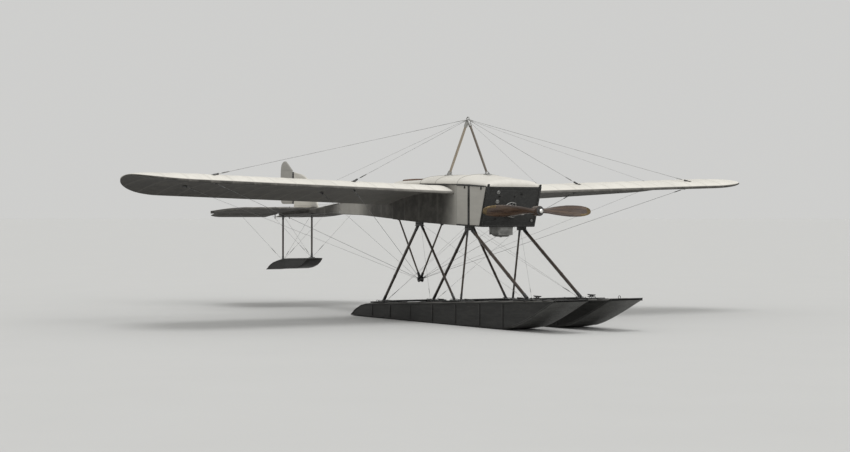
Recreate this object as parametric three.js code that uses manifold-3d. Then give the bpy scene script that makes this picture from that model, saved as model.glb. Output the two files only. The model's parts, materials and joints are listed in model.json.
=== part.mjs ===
// An early wire-braced monoplane on two long main floats and a small tail float.
// Millimetres. +X is forward, +Y is to port and +Z is up. The origin lies on the floor under the
// middle of the aircraft's length and span.
// The two main floats stand on their flat bottoms. Everything is drawn in the airframe's own frame,
// whose origin is the middle of the lower fuselage edge at the front strut station.
import * as THREE from "three";
import { mergeVertices } from "three/addons/utils/BufferGeometryUtils.js";
import Module from "manifold-3d";

const wasm = await Module();
wasm.setup();

// Driving dimensions
const gap = 0.4; // between solids that touch on the real aircraft
const originBehindStation = 2617; // the aircraft's origin lies this far behind the station
const stationHeight = 1600; // front strut station above the floor
const deck = { atStation: -1222, slope: 0.048, blockHeight: 34 }; // float deck, rising to the bow

const fuselage = { half: 530, wall: 14, firewall: -350, bulkhead: -2400, sternpost: -7500 };
const cockpit = { front: -1500, half: 330 };
const front = { bottomX: 330, topX: 530, plate: 12 }; // the raked front of the nose
const wing = {
  span: 12000, chord: 2150, leadingX: -435, rootZ: 542, rootY: 530.4,
  dihedral: THREE.MathUtils.degToRad(1.8), incidence: THREE.MathUtils.degToRad(4.3),
  camber: 0.062, camberAt: 0.36, thickness: 0.05, tipX: -972, tipFrontRound: 900, tipRearRound: 1150,
  sparAt: 0.16, portWarp: 150, // the port wing's trailing edge is drawn up, by this much at the tip
};
const thrust = { z: 250, housingEnd: 760, hubX: 1180, boreRadius: 29, shaftRadius: 28, flangeRadius: 66 };
const propeller = { radius: 1050, hubRadius: 80, hubDepth: 130 };
const mainFloat = { y: 520, half: 300 };
const strutY = 515;
const tail = {
  leadingX: -6000, hingeX: -7500, hingeZ: 212, trailingX: -8040, halfSpan: 1680,
  rudderX: -7050, rudderTop: 1235, rudderFoot: 385, rudderRearX: -7580,
};

// Fuselage stations, from the nose to the stern: x, half width, lower and upper edge
const stations = [
  { x: 530, half: 530, low: -14, high: 640 },
  { x: 0, half: 530, low: 0, high: 672 },
  { x: -350, half: 530, low: 12, high: 682 },
  { x: -1540, half: 530, low: 57, high: 705 },
  { x: -2400, half: 530, low: 106, high: 690 },
  { x: -3700, half: 425, low: 172, high: 505 },
  { x: -4700, half: 330, low: 188, high: 385 },
  { x: -6000, half: 205, low: 206, high: 277 },
  { x: -7500, half: 90, low: 162, high: 191 },
];

// Colours and finishes
const finish = (color, roughness, metalness = 0) =>
  new THREE.MeshStandardMaterial({ color, roughness, metalness });
const linen = finish(0xd9d4c6, 0.75);
const varnishedWood = finish(0x3a2c20, 0.5);
const paintedWood = finish(0x26241f, 0.6);
const darkSheet = finish(0x1d1c1b, 0.5, 0.4);
const castMetal = finish(0xa9a7a0, 0.4, 0.9);
const steel = finish(0x3c3c3c, 0.45, 0.9);
const leather = finish(0x3d2617, 0.7);

const v3 = (x, y, z) => new THREE.Vector3(x, y, z);

// The solid of a closed geometry, and the geometry of a solid
function solidOf(geometry) {
  const bare = geometry.clone();
  bare.deleteAttribute("normal");
  bare.deleteAttribute("uv");
  const merged = mergeVertices(bare, 1e-3);
  return new wasm.Manifold(new wasm.Mesh({
    numProp: 3,
    vertProperties: new Float32Array(merged.attributes.position.array),
    triVerts: new Uint32Array(merged.index.array),
  }));
}
function geometryOf(solid) {
  const mesh = solid.getMesh();
  const geometry = new THREE.BufferGeometry();
  geometry.setAttribute("position", new THREE.BufferAttribute(mesh.vertProperties, 3));
  geometry.setIndex(new THREE.BufferAttribute(mesh.triVerts, 1));
  geometry.computeVertexNormals();
  return geometry;
}
const join = (...pieces) => geometryOf(pieces.map(solidOf).reduce((a, b) => a.add(b)));
const cut = (piece, ...tools) =>
  geometryOf(tools.map(solidOf).reduce((a, b) => a.subtract(b), solidOf(piece)));
const common = (a, b) => geometryOf(solidOf(a).intersect(solidOf(b)));

// A closed skin over rings of points, which all have the same number of points
function loft(rings) {
  const count = rings[0].length;
  const points = rings.flat();
  const faces = [];
  for (let r = 0; r + 1 < rings.length; r++)
    for (let i = 0; i < count; i++) {
      const a = r * count + i;
      const b = r * count + ((i + 1) % count);
      faces.push(a, b, b + count, a, b + count, a + count);
    }
  const cap = (ring, first, turned) => {
    const normal = v3(0, 0, 0);
    ring.forEach((p, i) => normal.add(p.clone().cross(ring[(i + 1) % count])));
    const across = ring[1].clone().sub(ring[0]).normalize();
    normal.normalize();
    const up = normal.clone().cross(across);
    const flat = ring.map((p) => new THREE.Vector2(p.dot(across), p.dot(up)));
    for (const [a, b, c] of THREE.ShapeUtils.triangulateShape(flat, []))
      faces.push(...(turned ? [first + a, first + c, first + b] : [first + a, first + b, first + c]));
  };
  cap(rings[0], 0, true);
  cap(rings[rings.length - 1], (rings.length - 1) * count, false);
  const geometry = new THREE.BufferGeometry().setFromPoints(points);
  geometry.setIndex(faces);
  if (solidOf(geometry).volume() < 0) {
    for (let i = 0; i < faces.length; i += 3) [faces[i + 1], faces[i + 2]] = [faces[i + 2], faces[i + 1]];
    geometry.setIndex(faces);
  }
  geometry.computeVertexNormals();
  return geometry;
}

// A block between two opposite corners
function block(x0, y0, z0, x1, y1, z1) {
  const box = new THREE.BoxGeometry(Math.abs(x1 - x0), Math.abs(y1 - y0), Math.abs(z1 - z0));
  return box.translate((x0 + x1) / 2, (y0 + y1) / 2, (z0 + z1) / 2);
}

// A straight bar from one point to another with an oval section, its wide side in the XZ plane
function bar(from, to, wide, thin = wide, sides = 16) {
  const along = to.clone().sub(from);
  const length = along.length();
  along.normalize();
  const sideways = Math.abs(along.y) > 0.9 ? v3(1, 0, 0) : v3(0, 1, 0);
  const across = sideways.clone().cross(along).normalize();
  const third = across.clone().cross(along).negate();
  const frame = new THREE.Matrix4().makeBasis(third, along, across);
  return new THREE.CylinderGeometry(0.5, 0.5, length, sides)
    .scale(thin, 1, wide)
    .applyMatrix4(frame)
    .translate((from.x + to.x) / 2, (from.y + to.y) / 2, (from.z + to.z) / 2);
}

// A round pin or tube along one axis
function pin(axis, radius, from, to, x, y, z, sides = 24) {
  const tube = new THREE.CylinderGeometry(radius, radius, to - from, sides).translate(0, (from + to) / 2, 0);
  if (axis === "x") tube.rotateZ(-Math.PI / 2);
  if (axis === "z") tube.rotateX(Math.PI / 2);
  return tube.translate(x, y, z);
}

// Edges of the fuselage at any x, straight between the stations
function edge(key, x) {
  if (x >= stations[0].x) return stations[0][key];
  const i = Math.max(1, stations.findIndex((s) => s.x <= x));
  const [a, b] = [stations[i - 1], stations[i]];
  return THREE.MathUtils.mapLinear(x, a.x, b.x, a[key], b[key]);
}

const aircraft = new THREE.Group();
function place(name, geometry, material, x = 0, y = 0, z = 0) {
  const mesh = new THREE.Mesh(geometry, material);
  mesh.name = name;
  mesh.position.set(originBehindStation + x, y, stationHeight + z);
  aircraft.add(mesh);
}

const sides = [
  { name: "port", sign: 1 },
  { name: "starboard", sign: -1 },
];

// Fuselage
// A box between two stations, taken in from the outer faces by inset
function fuselageBox(fromX, toX, inset, lowInset = inset, highInset = inset) {
  const xs = [fromX, ...stations.map((s) => s.x).filter((x) => x < fromX && x > toX), toX];
  return loft(xs.map((x) => {
    const half = edge("half", x) - inset;
    const low = edge("low", x) + lowInset;
    const high = edge("high", x) - highInset;
    return [v3(x, -half, low), v3(x, half, low), v3(x, half, high), v3(x, -half, high)];
  }));
}

// The rounded top between the upper edges, crowned to the given height
function crownedTop(fromX, toX, crown, arcs = 12) {
  const xs = [fromX, ...stations.map((s) => s.x).filter((x) => x < fromX && x > toX), toX];
  return loft(xs.map((x) => {
    const [half, high] = [edge("half", x), edge("high", x) + gap];
    const rise = crown(x) - high;
    return Array.from({ length: arcs + 1 }, (_, i) => {
      const turn = (i / arcs) * Math.PI;
      return v3(x, half * Math.cos(turn), high + rise * Math.sin(turn) ** 0.8);
    });
  }));
}

// What lies ahead of the raked front, as a block to cut with
const rake = (front.topX - front.bottomX) / (edge("high", front.topX) - edge("low", front.topX));
function aheadOfRake(back) {
  const at = (z) => front.bottomX + (z - edge("low", 530)) * rake - back;
  const ring = (y) => [v3(at(-400), y, -400), v3(2000, y, -400), v3(2000, y, 1200), v3(at(1200), y, 1200)];
  return loft([ring(-1000), ring(1000)]);
}

const noseCrown = (x) => THREE.MathUtils.mapLinear(x, 530, -350, 752, 857);
const deckCrown = (x) => THREE.MathUtils.mapLinear(x, -350, -1500, 857, 850);
const rearCrown = (x) => edge("high", x) + THREE.MathUtils.mapLinear(x, -2400, -6000, 95, 4);

// Sockets under the lower edges that take the tops of the float struts
const strutTops = {
  rear: { x: -1537, length: 190, depth: 55 },
  front: { x: 0, length: 210, depth: 60 },
};
const topSocket = (top, sign) =>
  block(top.x - top.length / 2, sign * strutY - 26, edge("low", top.x) - top.depth,
    top.x + top.length / 2, sign * strutY + 26, edge("low", top.x) + 8);

function noseTray() {
  const wall = fuselage.wall;
  const outer = fuselageBox(530, fuselage.firewall + gap, 0);
  const inner = fuselageBox(531, fuselage.firewall - 1, wall, wall, -50);
  const bearers = [-1, 1].map((s) => block(-300, s * 250 - 30, 5, 290, s * 250 + 30, 70 - gap));
  const straps = sides.map(({ sign }) =>
    block(-32, sign * (fuselage.half - 4), edge("low", 0), 32, sign * (fuselage.half + 8), edge("high", 0) - 6));
  const sockets = sides.map(({ sign }) => topSocket(strutTops.front, sign));
  return join(cut(outer, inner, aheadOfRake(0)), ...bearers, ...straps, ...sockets);
}
place("nose_tray", noseTray(), linen);
const noseTop = cut(crownedTop(530, fuselage.firewall + gap, noseCrown), aheadOfRake(0));
place("nose_top", noseTop, linen);

// The dark plate that closes the raked nose, with two ears at its upper corners
function frontPlate() {
  const slab = common(
    cut(block(0, -fuselage.half, -14, 700, fuselage.half, 636), aheadOfRake(-front.plate - gap)),
    aheadOfRake(-gap),
  );
  const ears = [-1, 1].map((s) => common(
    cut(block(0, s * fuselage.half, 600, 700, s * (fuselage.half - 42), 678), aheadOfRake(-front.plate - gap)),
    aheadOfRake(-gap),
  ));
  return cut(join(slab, ...ears), pin("x", 113, 200, 700, 0, 0, thrust.z, 32));
}
place("front_plate", frontPlate(), darkSheet);
place("engine_block", block(-290, -400, 70, 260, 400, 440), castMetal);

// The crankcase's long nose, which carries the propeller shaft well ahead of the float struts
const housing = new THREE.LatheGeometry([
  [thrust.boreRadius, thrust.housingEnd], [thrust.boreRadius, 620], [0, 620], [0, 260 + gap], [112, 260 + gap],
  [112, 455], [92, 468], [78, 540], [58, 700], [58, 732], [thrust.flangeRadius, 738],
  [thrust.flangeRadius, thrust.housingEnd], [thrust.boreRadius, thrust.housingEnd],
].map(([r, x]) => new THREE.Vector2(r, x)), 32).rotateZ(-Math.PI / 2);
place("shaft_housing", housing, castMetal, 0, 0, thrust.z);

function sumpPan() {
  const ring = (half, x0, x1, depth) => [[x0, -half], [x1, -half], [x1, half], [x0, half]]
    .map(([x, y]) => v3(x, y, edge("low", x) - depth));
  return loft([
    ring(165, -10, 315, gap), ring(160, 0, 305, 64), ring(125, 30, 270, 144), ring(95, 60, 240, 166),
  ]);
}
place("sump", sumpPan(), darkSheet);

function centreTub() {
  const wall = fuselage.wall;
  const outer = fuselageBox(fuselage.firewall, fuselage.bulkhead + gap, 0);
  const inner = fuselageBox(fuselage.firewall - wall, fuselage.bulkhead + wall, wall, wall, -50);
  const sockets = sides.map(({ sign }) => topSocket(strutTops.rear, sign));
  return join(cut(outer, inner), ...sockets);
}
const centre = centreTub();
place("fuselage_centre", centre, linen);
const frontDeck = crownedTop(fuselage.firewall, cockpit.front, deckCrown);
place("front_deck", frontDeck, linen);

// Flat coaming boards beside the cockpit, from the front deck to the rear bulkhead
const coaming = (sign) => loft([cockpit.front - gap, -1540, fuselage.bulkhead + gap].map((x) => {
  const high = edge("high", x) + gap;
  return [
    v3(x, sign * cockpit.half, high), v3(x, sign * fuselage.half, high),
    v3(x, sign * (fuselage.half - 30), high + 45), v3(x, sign * cockpit.half, high + 75),
  ];
}));
for (const { name, sign } of sides) place(`cockpit_coaming_${name}`, coaming(sign), linen);

const rearTop = crownedTop(fuselage.bulkhead, tail.leadingX + 100, rearCrown);
const rear = join(fuselageBox(fuselage.bulkhead, fuselage.sternpost, 0), rearTop.translate(0, 0, -gap - 1));
place("fuselage_rear", rear, linen);

// Cockpit
function seat() {
  const floor = edge("low", -2180) + fuselage.wall + gap;
  return join(
    block(-2180, -190, floor, -1830, 190, 300),
    block(-2215, -225, 290, -1790, 225, 330),
    block(-2245, -225, 290, -2205, 225, 690),
  );
}
place("seat", seat(), leather);

function controlColumn() {
  const foot = edge("low", -1480) + fuselage.wall + gap;
  const wheel = new THREE.TorusGeometry(125, 11, 10, 28).rotateY(Math.PI / 2);
  return join(
    block(-1480, -60, foot, -1380, 60, foot + 30),
    bar(v3(-1430, 0, foot + 20), v3(-1530, 0, 600), 34),
    wheel.translate(-1530, 0, 600),
    bar(v3(-1530, -125, 600), v3(-1530, 125, 600), 16),
  );
}
place("control_column", controlColumn(), varnishedWood);

function rudderBar() {
  const foot = edge("low", -925) + fuselage.wall + gap;
  return join(
    pin("z", 22, foot, foot + 110, -900, 0, 0, 16),
    block(-925, -280, foot + 95, -875, 280, foot + 130),
  );
}
place("rudder_bar", rudderBar(), varnishedWood);

// Wings
// The section is a cambered middle line with a thickness about it, both in chords at a chord fraction
const chordSteps = [0, 0.012, 0.05, 0.12, 0.22, 0.34, 0.5, 0.68, 0.85, 1];
function camberAt(t) {
  const side = t < wing.camberAt ? wing.camberAt : 1 - wing.camberAt;
  return wing.camber * (1 - (Math.abs(t - wing.camberAt) / side) ** 2);
}
const halfThickness = (t) =>
  (wing.thickness / 2) * Math.min(1, t / 0.14) ** 0.45 * (1 - 0.8 * Math.max(0, t - 0.3)) + 0.0015;
const upper = 1;
const lower = -1;

// Leading and trailing edge of the rounded planform at a distance from the middle
function wingEdges(y) {
  const half = wing.span / 2;
  const frontTurn = Math.max(0, (y - (half - wing.tipFrontRound)) / wing.tipFrontRound);
  const rearTurn = Math.max(0, (y - (half - wing.tipRearRound)) / wing.tipRearRound);
  const trailingX = wing.leadingX - wing.chord;
  return {
    lead: wing.tipX + (wing.leadingX - wing.tipX) * Math.sqrt(1 - frontTurn ** 2),
    trail: wing.tipX + (trailingX - wing.tipX) * Math.sqrt(1 - rearTurn ** 2),
  };
}

// A point on the wing's skin, y from the middle, t from the local leading edge, upper or lower side.
// The middle line keeps its full camber out to the rounded tip.
function wingPoint(sign, y, t, surface) {
  const { lead, trail } = wingEdges(y);
  const localChord = lead - trail;
  const x = lead - t * localChord;
  const back = wing.leadingX - x;
  const outward = y - wing.rootY;
  const z = wing.rootZ + outward * Math.tan(wing.dihedral) - back * Math.tan(wing.incidence)
    + camberAt(back / wing.chord) * wing.chord + surface * halfThickness(t) * localChord
    + warpAt(sign, outward, back);
  return v3(x, sign * y, z);
}

// The warp grows from nothing at the root and at the front spar
function warpAt(sign, outward, back) {
  const alongSpan = outward / (wing.span / 2 - wing.rootY);
  const behindSpar = Math.max(0, back / wing.chord - wing.sparAt) / (1 - wing.sparAt);
  return sign > 0 ? wing.portWarp * alongSpan * behindSpar : 0;
}
const wingSteps = [wing.rootY, 2200, 4000, 4850, 5130, 5350, 5540, 5700, 5820, 5900, 5950, 5980, 5996];
const wingSkin = (sign) => loft(wingSteps.map((y) => [
  ...chordSteps.map((t) => wingPoint(sign, y, t, upper)),
  ...chordSteps.slice().reverse().map((t) => wingPoint(sign, y, t, lower)),
]));

// Pylons
const mast = { apex: v3(-835, 0, 1783), frontFoot: -245, rearFoot: -1425 };
const post = { apex: v3(-2333, 0, -942), frontFoot: -1620, rearFoot: -3082 };

// A leg with a foot plate that lies on the skin it stands on, up to the pylon's apex block
function pylonLeg(apex, { x, z, up, skin, footHeight }, wide) {
  const foot = v3(x, 0, z);
  const end = apex.clone().addScaledVector(apex.clone().sub(foot).normalize(), -90);
  const leg = bar(foot, end, wide, wide * 0.7);
  const plate = block(x - 45, -34, z - up * 9, x + 45, 34, z + up * footHeight);
  return cut(join(leg, plate), skin.clone().translate(0, 0, up * gap));
}

// The apex block, cut clear of the legs by the gap, with a socket for each stay
function apexBlock(apex, feet, legWide, sockets) {
  const body = join(
    pin("y", 48, -40, 40, apex.x, 0, apex.z, 20),
    ...feet.map((foot) => {
      const along = foot.clone().sub(apex).normalize();
      return bar(apex, apex.clone().addScaledVector(along, 90 - gap), legWide + 14, legWide + 4);
    }),
    ...sockets,
  );
  return body;
}

// Stays run from the pylons to fittings on the front spars
const stay = { diameter: 7, ferrule: 22, ferruleLength: 70 };
const stayPoints = [
  { name: "inner", y: 2250 },
  { name: "outer", y: 4730 },
];
const staySets = [
  { name: "landing_stay", apex: mast.apex, surface: upper },
  { name: "flying_stay", apex: post.apex, surface: lower },
];

// One stay and the ferrules at its two ends; the ferrules belong to the pieces that carry them
function makeStay(apex, end) {
  const along = end.clone().sub(apex).normalize();
  const start = apex.clone().addScaledVector(along, 45);
  const startFace = start.clone().addScaledVector(along, stay.ferruleLength);
  const endFace = end.clone().addScaledVector(along, -stay.ferruleLength);
  return {
    wire: bar(startFace.clone().addScaledVector(along, gap), endFace.clone().addScaledVector(along, -gap),
      stay.diameter, stay.diameter, 8),
    apexFerrule: bar(apex, startFace, stay.ferrule, stay.ferrule, 12),
    wingFerrule: bar(endFace, end.clone().addScaledVector(along, 12), stay.ferrule, stay.ferrule, 12),
  };
}

const apexFerrules = new Map(staySets.map((set) => [set.name, []]));
for (const { name, sign } of sides) {
  const wingFerrules = [];
  for (const set of staySets)
    for (const point of stayPoints) {
      const made = makeStay(set.apex, wingPoint(sign, point.y, wing.sparAt, set.surface));
      apexFerrules.get(set.name).push(made.apexFerrule);
      wingFerrules.push(made.wingFerrule);
      place(`${set.name}_${point.name}_${name}`, made.wire, steel);
    }
  place(`wing_${name}`, join(wingSkin(sign), ...wingFerrules), linen);
}

const upperFeet = [
  { name: "front", x: mast.frontFoot, z: noseCrown(mast.frontFoot), up: 1, skin: noseTop, footHeight: 45 },
  { name: "rear", x: mast.rearFoot, z: deckCrown(mast.rearFoot), up: 1, skin: frontDeck, footHeight: 75 },
];
const lowerFeet = [
  { name: "front", x: post.frontFoot, z: edge("low", post.frontFoot), up: -1, skin: centre, footHeight: 24 },
  { name: "rear", x: post.rearFoot, z: edge("low", post.rearFoot), up: -1, skin: rear, footHeight: 24 },
];
for (const foot of upperFeet)
  place(`upper_pylon_leg_${foot.name}`, pylonLeg(mast.apex, foot, 46), varnishedWood);
for (const foot of lowerFeet)
  place(`lower_pylon_leg_${foot.name}`, pylonLeg(post.apex, foot, 36), varnishedWood);
place("upper_pylon_cap", apexBlock(mast.apex, upperFeet.map((f) => v3(f.x, 0, f.z)), 46,
  apexFerrules.get("landing_stay")), steel);
place("lower_pylon_cap", apexBlock(post.apex, lowerFeet.map((f) => v3(f.x, 0, f.z)), 36,
  apexFerrules.get("flying_stay")), steel);

// Propeller, with its blades level
// One section of a blade: distance from the axis, chord, thickness, and pitch angle in degrees
const bladeTable = [
  { r: 50, chord: 96, thick: 72, pitch: 62 },
  { r: 170, chord: 120, thick: 54, pitch: 52 },
  { r: 350, chord: 170, thick: 38, pitch: 38 },
  { r: 600, chord: 205, thick: 26, pitch: 27 },
  { r: 820, chord: 190, thick: 18, pitch: 21 },
  { r: 970, chord: 140, thick: 12, pitch: 18 },
  { r: 1035, chord: 80, thick: 8, pitch: 17 },
  { r: propeller.radius, chord: 30, thick: 6, pitch: 17 },
];
function blade() {
  return loft(bladeTable.map(({ r, chord, thick, pitch }) => {
    const turn = THREE.MathUtils.degToRad(pitch);
    return Array.from({ length: 12 }, (_, i) => {
      const a = (i / 12) * 2 * Math.PI;
      const along = (Math.cos(a) * chord) / 2;
      const out = (Math.sin(a) * thick) / 2;
      return v3(out * Math.cos(turn) + along * Math.sin(turn), r, out * Math.sin(turn) - along * Math.cos(turn));
    });
  }));
}
const hubBoss = pin("x", propeller.hubRadius, -propeller.hubDepth / 2, propeller.hubDepth / 2, 0, 0, 0, 32);
place("propeller", join(blade(), blade().rotateX(Math.PI), hubBoss), varnishedWood,
  thrust.hubX, 0, thrust.z);
const hubFront = new THREE.LatheGeometry([
  [0, 0], [72, 0], [72, 12], [34, 12], [34, 46], [0, 46],
].map(([r, x]) => new THREE.Vector2(r, x)), 28).rotateZ(-Math.PI / 2);
place("propeller_hub", hubFront, castMetal, thrust.hubX + propeller.hubDepth / 2 + gap, 0, thrust.z);
const shaft = new THREE.LatheGeometry([
  [0, 630], [thrust.shaftRadius, 630], [thrust.shaftRadius, 1085], [70, 1095],
  [70, thrust.hubX - propeller.hubDepth / 2 - gap], [0, thrust.hubX - propeller.hubDepth / 2 - gap],
].map(([r, x]) => new THREE.Vector2(r, x)), 28).rotateZ(-Math.PI / 2);
place("propeller_shaft", shaft, steel, 0, 0, thrust.z);

// Tail
// Half the planform of the tailplane and elevator: distance from the middle at an x
function tailEdges(y) {
  const frontTurn = Math.max(0, (y - (tail.halfSpan - 420)) / 420);
  const rearTurn = Math.max(0, (y - (tail.halfSpan - 620)) / 620);
  const middleX = tail.leadingX - 900;
  return {
    lead: middleX + (tail.leadingX - middleX) * Math.sqrt(1 - frontTurn ** 2),
    trail: middleX + (tail.trailingX - middleX) * Math.sqrt(1 - rearTurn ** 2),
  };
}
const tailSlope = (edge("high", tail.leadingX) - edge("high", tail.hingeX)) / (tail.leadingX - tail.hingeX);
const tailBase = (x) => edge("high", tail.leadingX) + (x - tail.leadingX) * tailSlope + gap;
const tailThickness = (t) =>
  66 * Math.sqrt(Math.min(1, Math.max(0, t) / 0.25)) * (1 - 0.55 * Math.max(0, t - 0.3)) + 8;
const halfSteps = [0, 600, 1140, 1290, 1420, 1530, 1610, 1655, 1676];
const tailSteps = [...halfSteps.slice(1).reverse().map((y) => -y), ...halfSteps];

// A surface of the tail between two chordwise limits, over the rounded planform
function tailSurface(fromX, toX, steps) {
  return loft(steps.map((y) => {
    const { lead, trail } = tailEdges(Math.abs(y));
    const [a, b] = [Math.min(fromX, lead), Math.max(toX, trail)];
    const whole = tail.leadingX - tail.trailingX;
    const share = (lead - trail) / whole;
    const points = [0, 0.04, 0.15, 0.35, 0.65, 1].map((s) => a + (b - a) * s);
    const top = (x) => tailBase(x) + tailThickness((lead - x) / whole) * Math.max(0.35, Math.sqrt(share));
    return [
      ...points.map((x) => v3(x, y, top(x))),
      ...points.slice().reverse().map((x) => v3(x, y, tailBase(x))),
    ];
  }));
}

// A hinge: a rod that turns with the moving surface, inside eyes on the fixed one
const hinge = { rod: 13, bore: 13.7, eye: 24, width: 30, clear: 6, nose: 17, noseGap: 27 };
function hingeParts(axis, at, from, to, places) {
  const along = (a, b, radius, sidesOfTube = 24) => pin(axis, radius, a, b, ...at, sidesOfTube);
  return {
    rod: along(from, to, hinge.rod),
    eyes: places.map((p) => cut(along(p - hinge.width / 2, p + hinge.width / 2, hinge.eye),
      along(p - hinge.width, p + hinge.width, hinge.bore))),
    bores: places.map((p) => along(p - hinge.width, p + hinge.width, hinge.bore)),
    pockets: places.map((p) => cut(
      along(p - hinge.width / 2 - hinge.clear, p + hinge.width / 2 + hinge.clear, hinge.eye + hinge.clear),
      along(p - hinge.width * 2, p + hinge.width * 2, hinge.rod - 0.5))),
  };
}
const elevatorPlaces = [-1130, -480, 480, 1130];
const elevatorHinge = hingeParts("y", [tail.hingeX, 0, tail.hingeZ], -1350, 1350, elevatorPlaces);
const swept = (axis, at, from, to) => pin(axis, hinge.eye + hinge.clear, from, to, ...at, 32);
const tailplaneFixed = cut(
  tailSurface(tail.leadingX, tail.hingeX + hinge.noseGap, tailSteps),
  swept("y", [tail.hingeX, 0, tail.hingeZ], -2000, 2000),
);
const arm = (p) => block(tail.hingeX + 17, p - 12, tail.hingeZ - 8, tail.hingeX + 60, p + 12, tail.hingeZ + 8);
const tailplane = join(
  tailplaneFixed,
  ...elevatorHinge.eyes,
  ...elevatorPlaces.map((p) => cut(arm(p), elevatorHinge.bores[elevatorPlaces.indexOf(p)])),
);
place("tailplane", tailplane, linen);

// The two halves of the elevator hang a little below the tailplane's line, joined by their rod
const droop = THREE.MathUtils.degToRad(9);
const elevatorGap = 110; // half the notch between the two halves
function elevator() {
  const steps = halfSteps.filter((y) => y <= 1420);
  const both = [...steps.slice(1).reverse().map((y) => -y), ...steps];
  const skin = loft(both.map((y) => {
    const { trail } = tailEdges(Math.abs(y));
    const points = [0, 0.06, 0.25, 0.6, 1];
    const length = tail.hingeX - trail;
    const half = (s) => (s < 0.06 ? 16 : 22 * (1 - s) + 5);
    const spot = (s, up) => v3(tail.hingeX - s * length, y, up * half(s)).sub(v3(tail.hingeX, 0, 0))
      .applyAxisAngle(v3(0, 1, 0), -droop).add(v3(tail.hingeX, 0, tail.hingeZ));
    return [...points.map((s) => spot(s, 1)), ...points.slice().reverse().map((s) => spot(s, -1))];
  }));
  const notch = block(-9000, -elevatorGap, -500, tail.hingeX + 100, elevatorGap, 900);
  const nose = pin("y", hinge.nose, -1350, 1350, tail.hingeX, 0, tail.hingeZ);
  const horns = [-1, 1].map((s) =>
    block(tail.hingeX - 24, s * 160 - 9, tail.hingeZ - 120, tail.hingeX - 2, s * 160 + 9, tail.hingeZ + 120));
  return join(cut(join(skin, nose), notch, ...elevatorHinge.pockets), elevatorHinge.rod, ...horns);
}
place("elevator", elevator(), linen);

const rudderPlaces = [450, 720, 960];
const rudderHinge = hingeParts("z", [tail.rudderX, 0, 0], tail.rudderFoot, 1010, rudderPlaces);
function finOutline() {
  const outline = new THREE.Shape();
  outline.moveTo(tail.leadingX - 30, tailBase(tail.leadingX - 30) + 15);
  outline.quadraticCurveTo(-6280, 880, -6720, 960);
  outline.lineTo(tail.rudderX + hinge.noseGap, 1010);
  outline.lineTo(tail.rudderX + hinge.noseGap, tailBase(tail.rudderX) + 15);
  return outline;
}
// Extrudes an outline drawn in x and z to a plate that stands in the middle plane
const upright = (outline, depth) =>
  new THREE.ExtrudeGeometry(outline, { depth, bevelEnabled: false, curveSegments: 8 })
    .rotateX(Math.PI / 2).translate(0, depth / 2, 0);
function fin() {
  const plate = cut(upright(finOutline(), 44), tailplane.clone().translate(0, 0, gap));
  const rudderArm = (p) => block(tail.rudderX + 17, -10, p - 8, tail.rudderX + 40, 10, p + 8);
  return join(
    plate,
    ...rudderHinge.eyes,
    ...rudderPlaces.map((p, i) => cut(rudderArm(p), rudderHinge.bores[i])),
  );
}
place("fin", fin(), linen);

function rudder() {
  const outline = new THREE.Shape();
  outline.moveTo(tail.rudderX, tail.rudderFoot);
  outline.lineTo(tail.rudderX, 1015);
  outline.quadraticCurveTo(-7200, 1130, -7350, tail.rudderTop - 12);
  outline.quadraticCurveTo(-7480, tail.rudderTop + 12, -7545, 1160);
  outline.quadraticCurveTo(tail.rudderRearX, 1080, tail.rudderRearX, 900);
  outline.lineTo(tail.rudderRearX, 520);
  outline.quadraticCurveTo(tail.rudderRearX, tail.rudderFoot, -7470, tail.rudderFoot);
  const horns = block(tail.rudderX - 45, -150, 560, tail.rudderX - 15, 150, 580);
  const nose = pin("z", hinge.nose, tail.rudderFoot, 1010, tail.rudderX, 0, 0);
  return join(cut(join(upright(outline, 30), nose), ...rudderHinge.pockets), rudderHinge.rod, horns);
}
place("rudder", rudder(), linen);

// Floats
// Side profile of a main float: x, drop of the deck below its straight line, bottom above the floor
const mainStations = [
  { x: 2800, drop: 0, rise: 490 },
  { x: 2500, drop: 0, rise: 356 },
  { x: 2200, drop: 0, rise: 228 },
  { x: 1920, drop: 0, rise: 122 },
  { x: 1650, drop: 0, rise: 48 },
  { x: 1400, drop: 0, rise: 9 },
  { x: 1200, drop: 0, rise: 0 },
  { x: -2860, drop: 0, rise: 0 },
  { x: -3000, drop: 20, rise: 0 },
  { x: -3180, drop: 80, rise: 3 },
  { x: -3330, drop: 170, rise: 12 },
];
const deckZ = (x) => deck.atStation + deck.slope * x;
const mainProfile = mainStations.map(({ x, drop, rise }) =>
  ({ x, top: deckZ(x) - drop, low: rise - stationHeight }));
const hull = (profile, half, crown) => loft(profile.map(({ x, top, low }) => [
  v3(x, -half, low), v3(x, half, low), v3(x, half, top - crown), v3(x, half * 0.5, top - crown * 0.25),
  v3(x, 0, top), v3(x, -half * 0.5, top - crown * 0.25), v3(x, -half, top - crown),
]));

// Strut feet along the deck, measured from the front strut station
const feet = {
  rear: { x: -2725, back: 100, ahead: 100 },
  middle: { x: -344, back: 160, ahead: 175 },
  front: { x: 1662, back: 120, ahead: 320 },
};
const footTop = ({ x }) => deckZ(x) + deck.blockHeight;
function floatBody() {
  const blocks = Object.values(feet).map((foot) =>
    block(foot.x - foot.back, -55, deckZ(foot.x) - 30, foot.x + foot.ahead, 55, footTop(foot)));
  return join(hull(mainProfile, mainFloat.half, 12), ...blocks);
}
for (const { name, sign } of sides)
  place(`float_${name}`, floatBody(), paintedWood, 0, sign * mainFloat.y, 0);

// Cross tubes between the strut feet of the two floats
for (const [name, foot] of Object.entries(feet)) {
  const reach = mainFloat.y - 55 - gap;
  const z = deckZ(foot.x) + 20;
  place(`cross_tube_${name}`, bar(v3(foot.x, -reach, z), v3(foot.x, reach, z), 34), steel);
}

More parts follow.
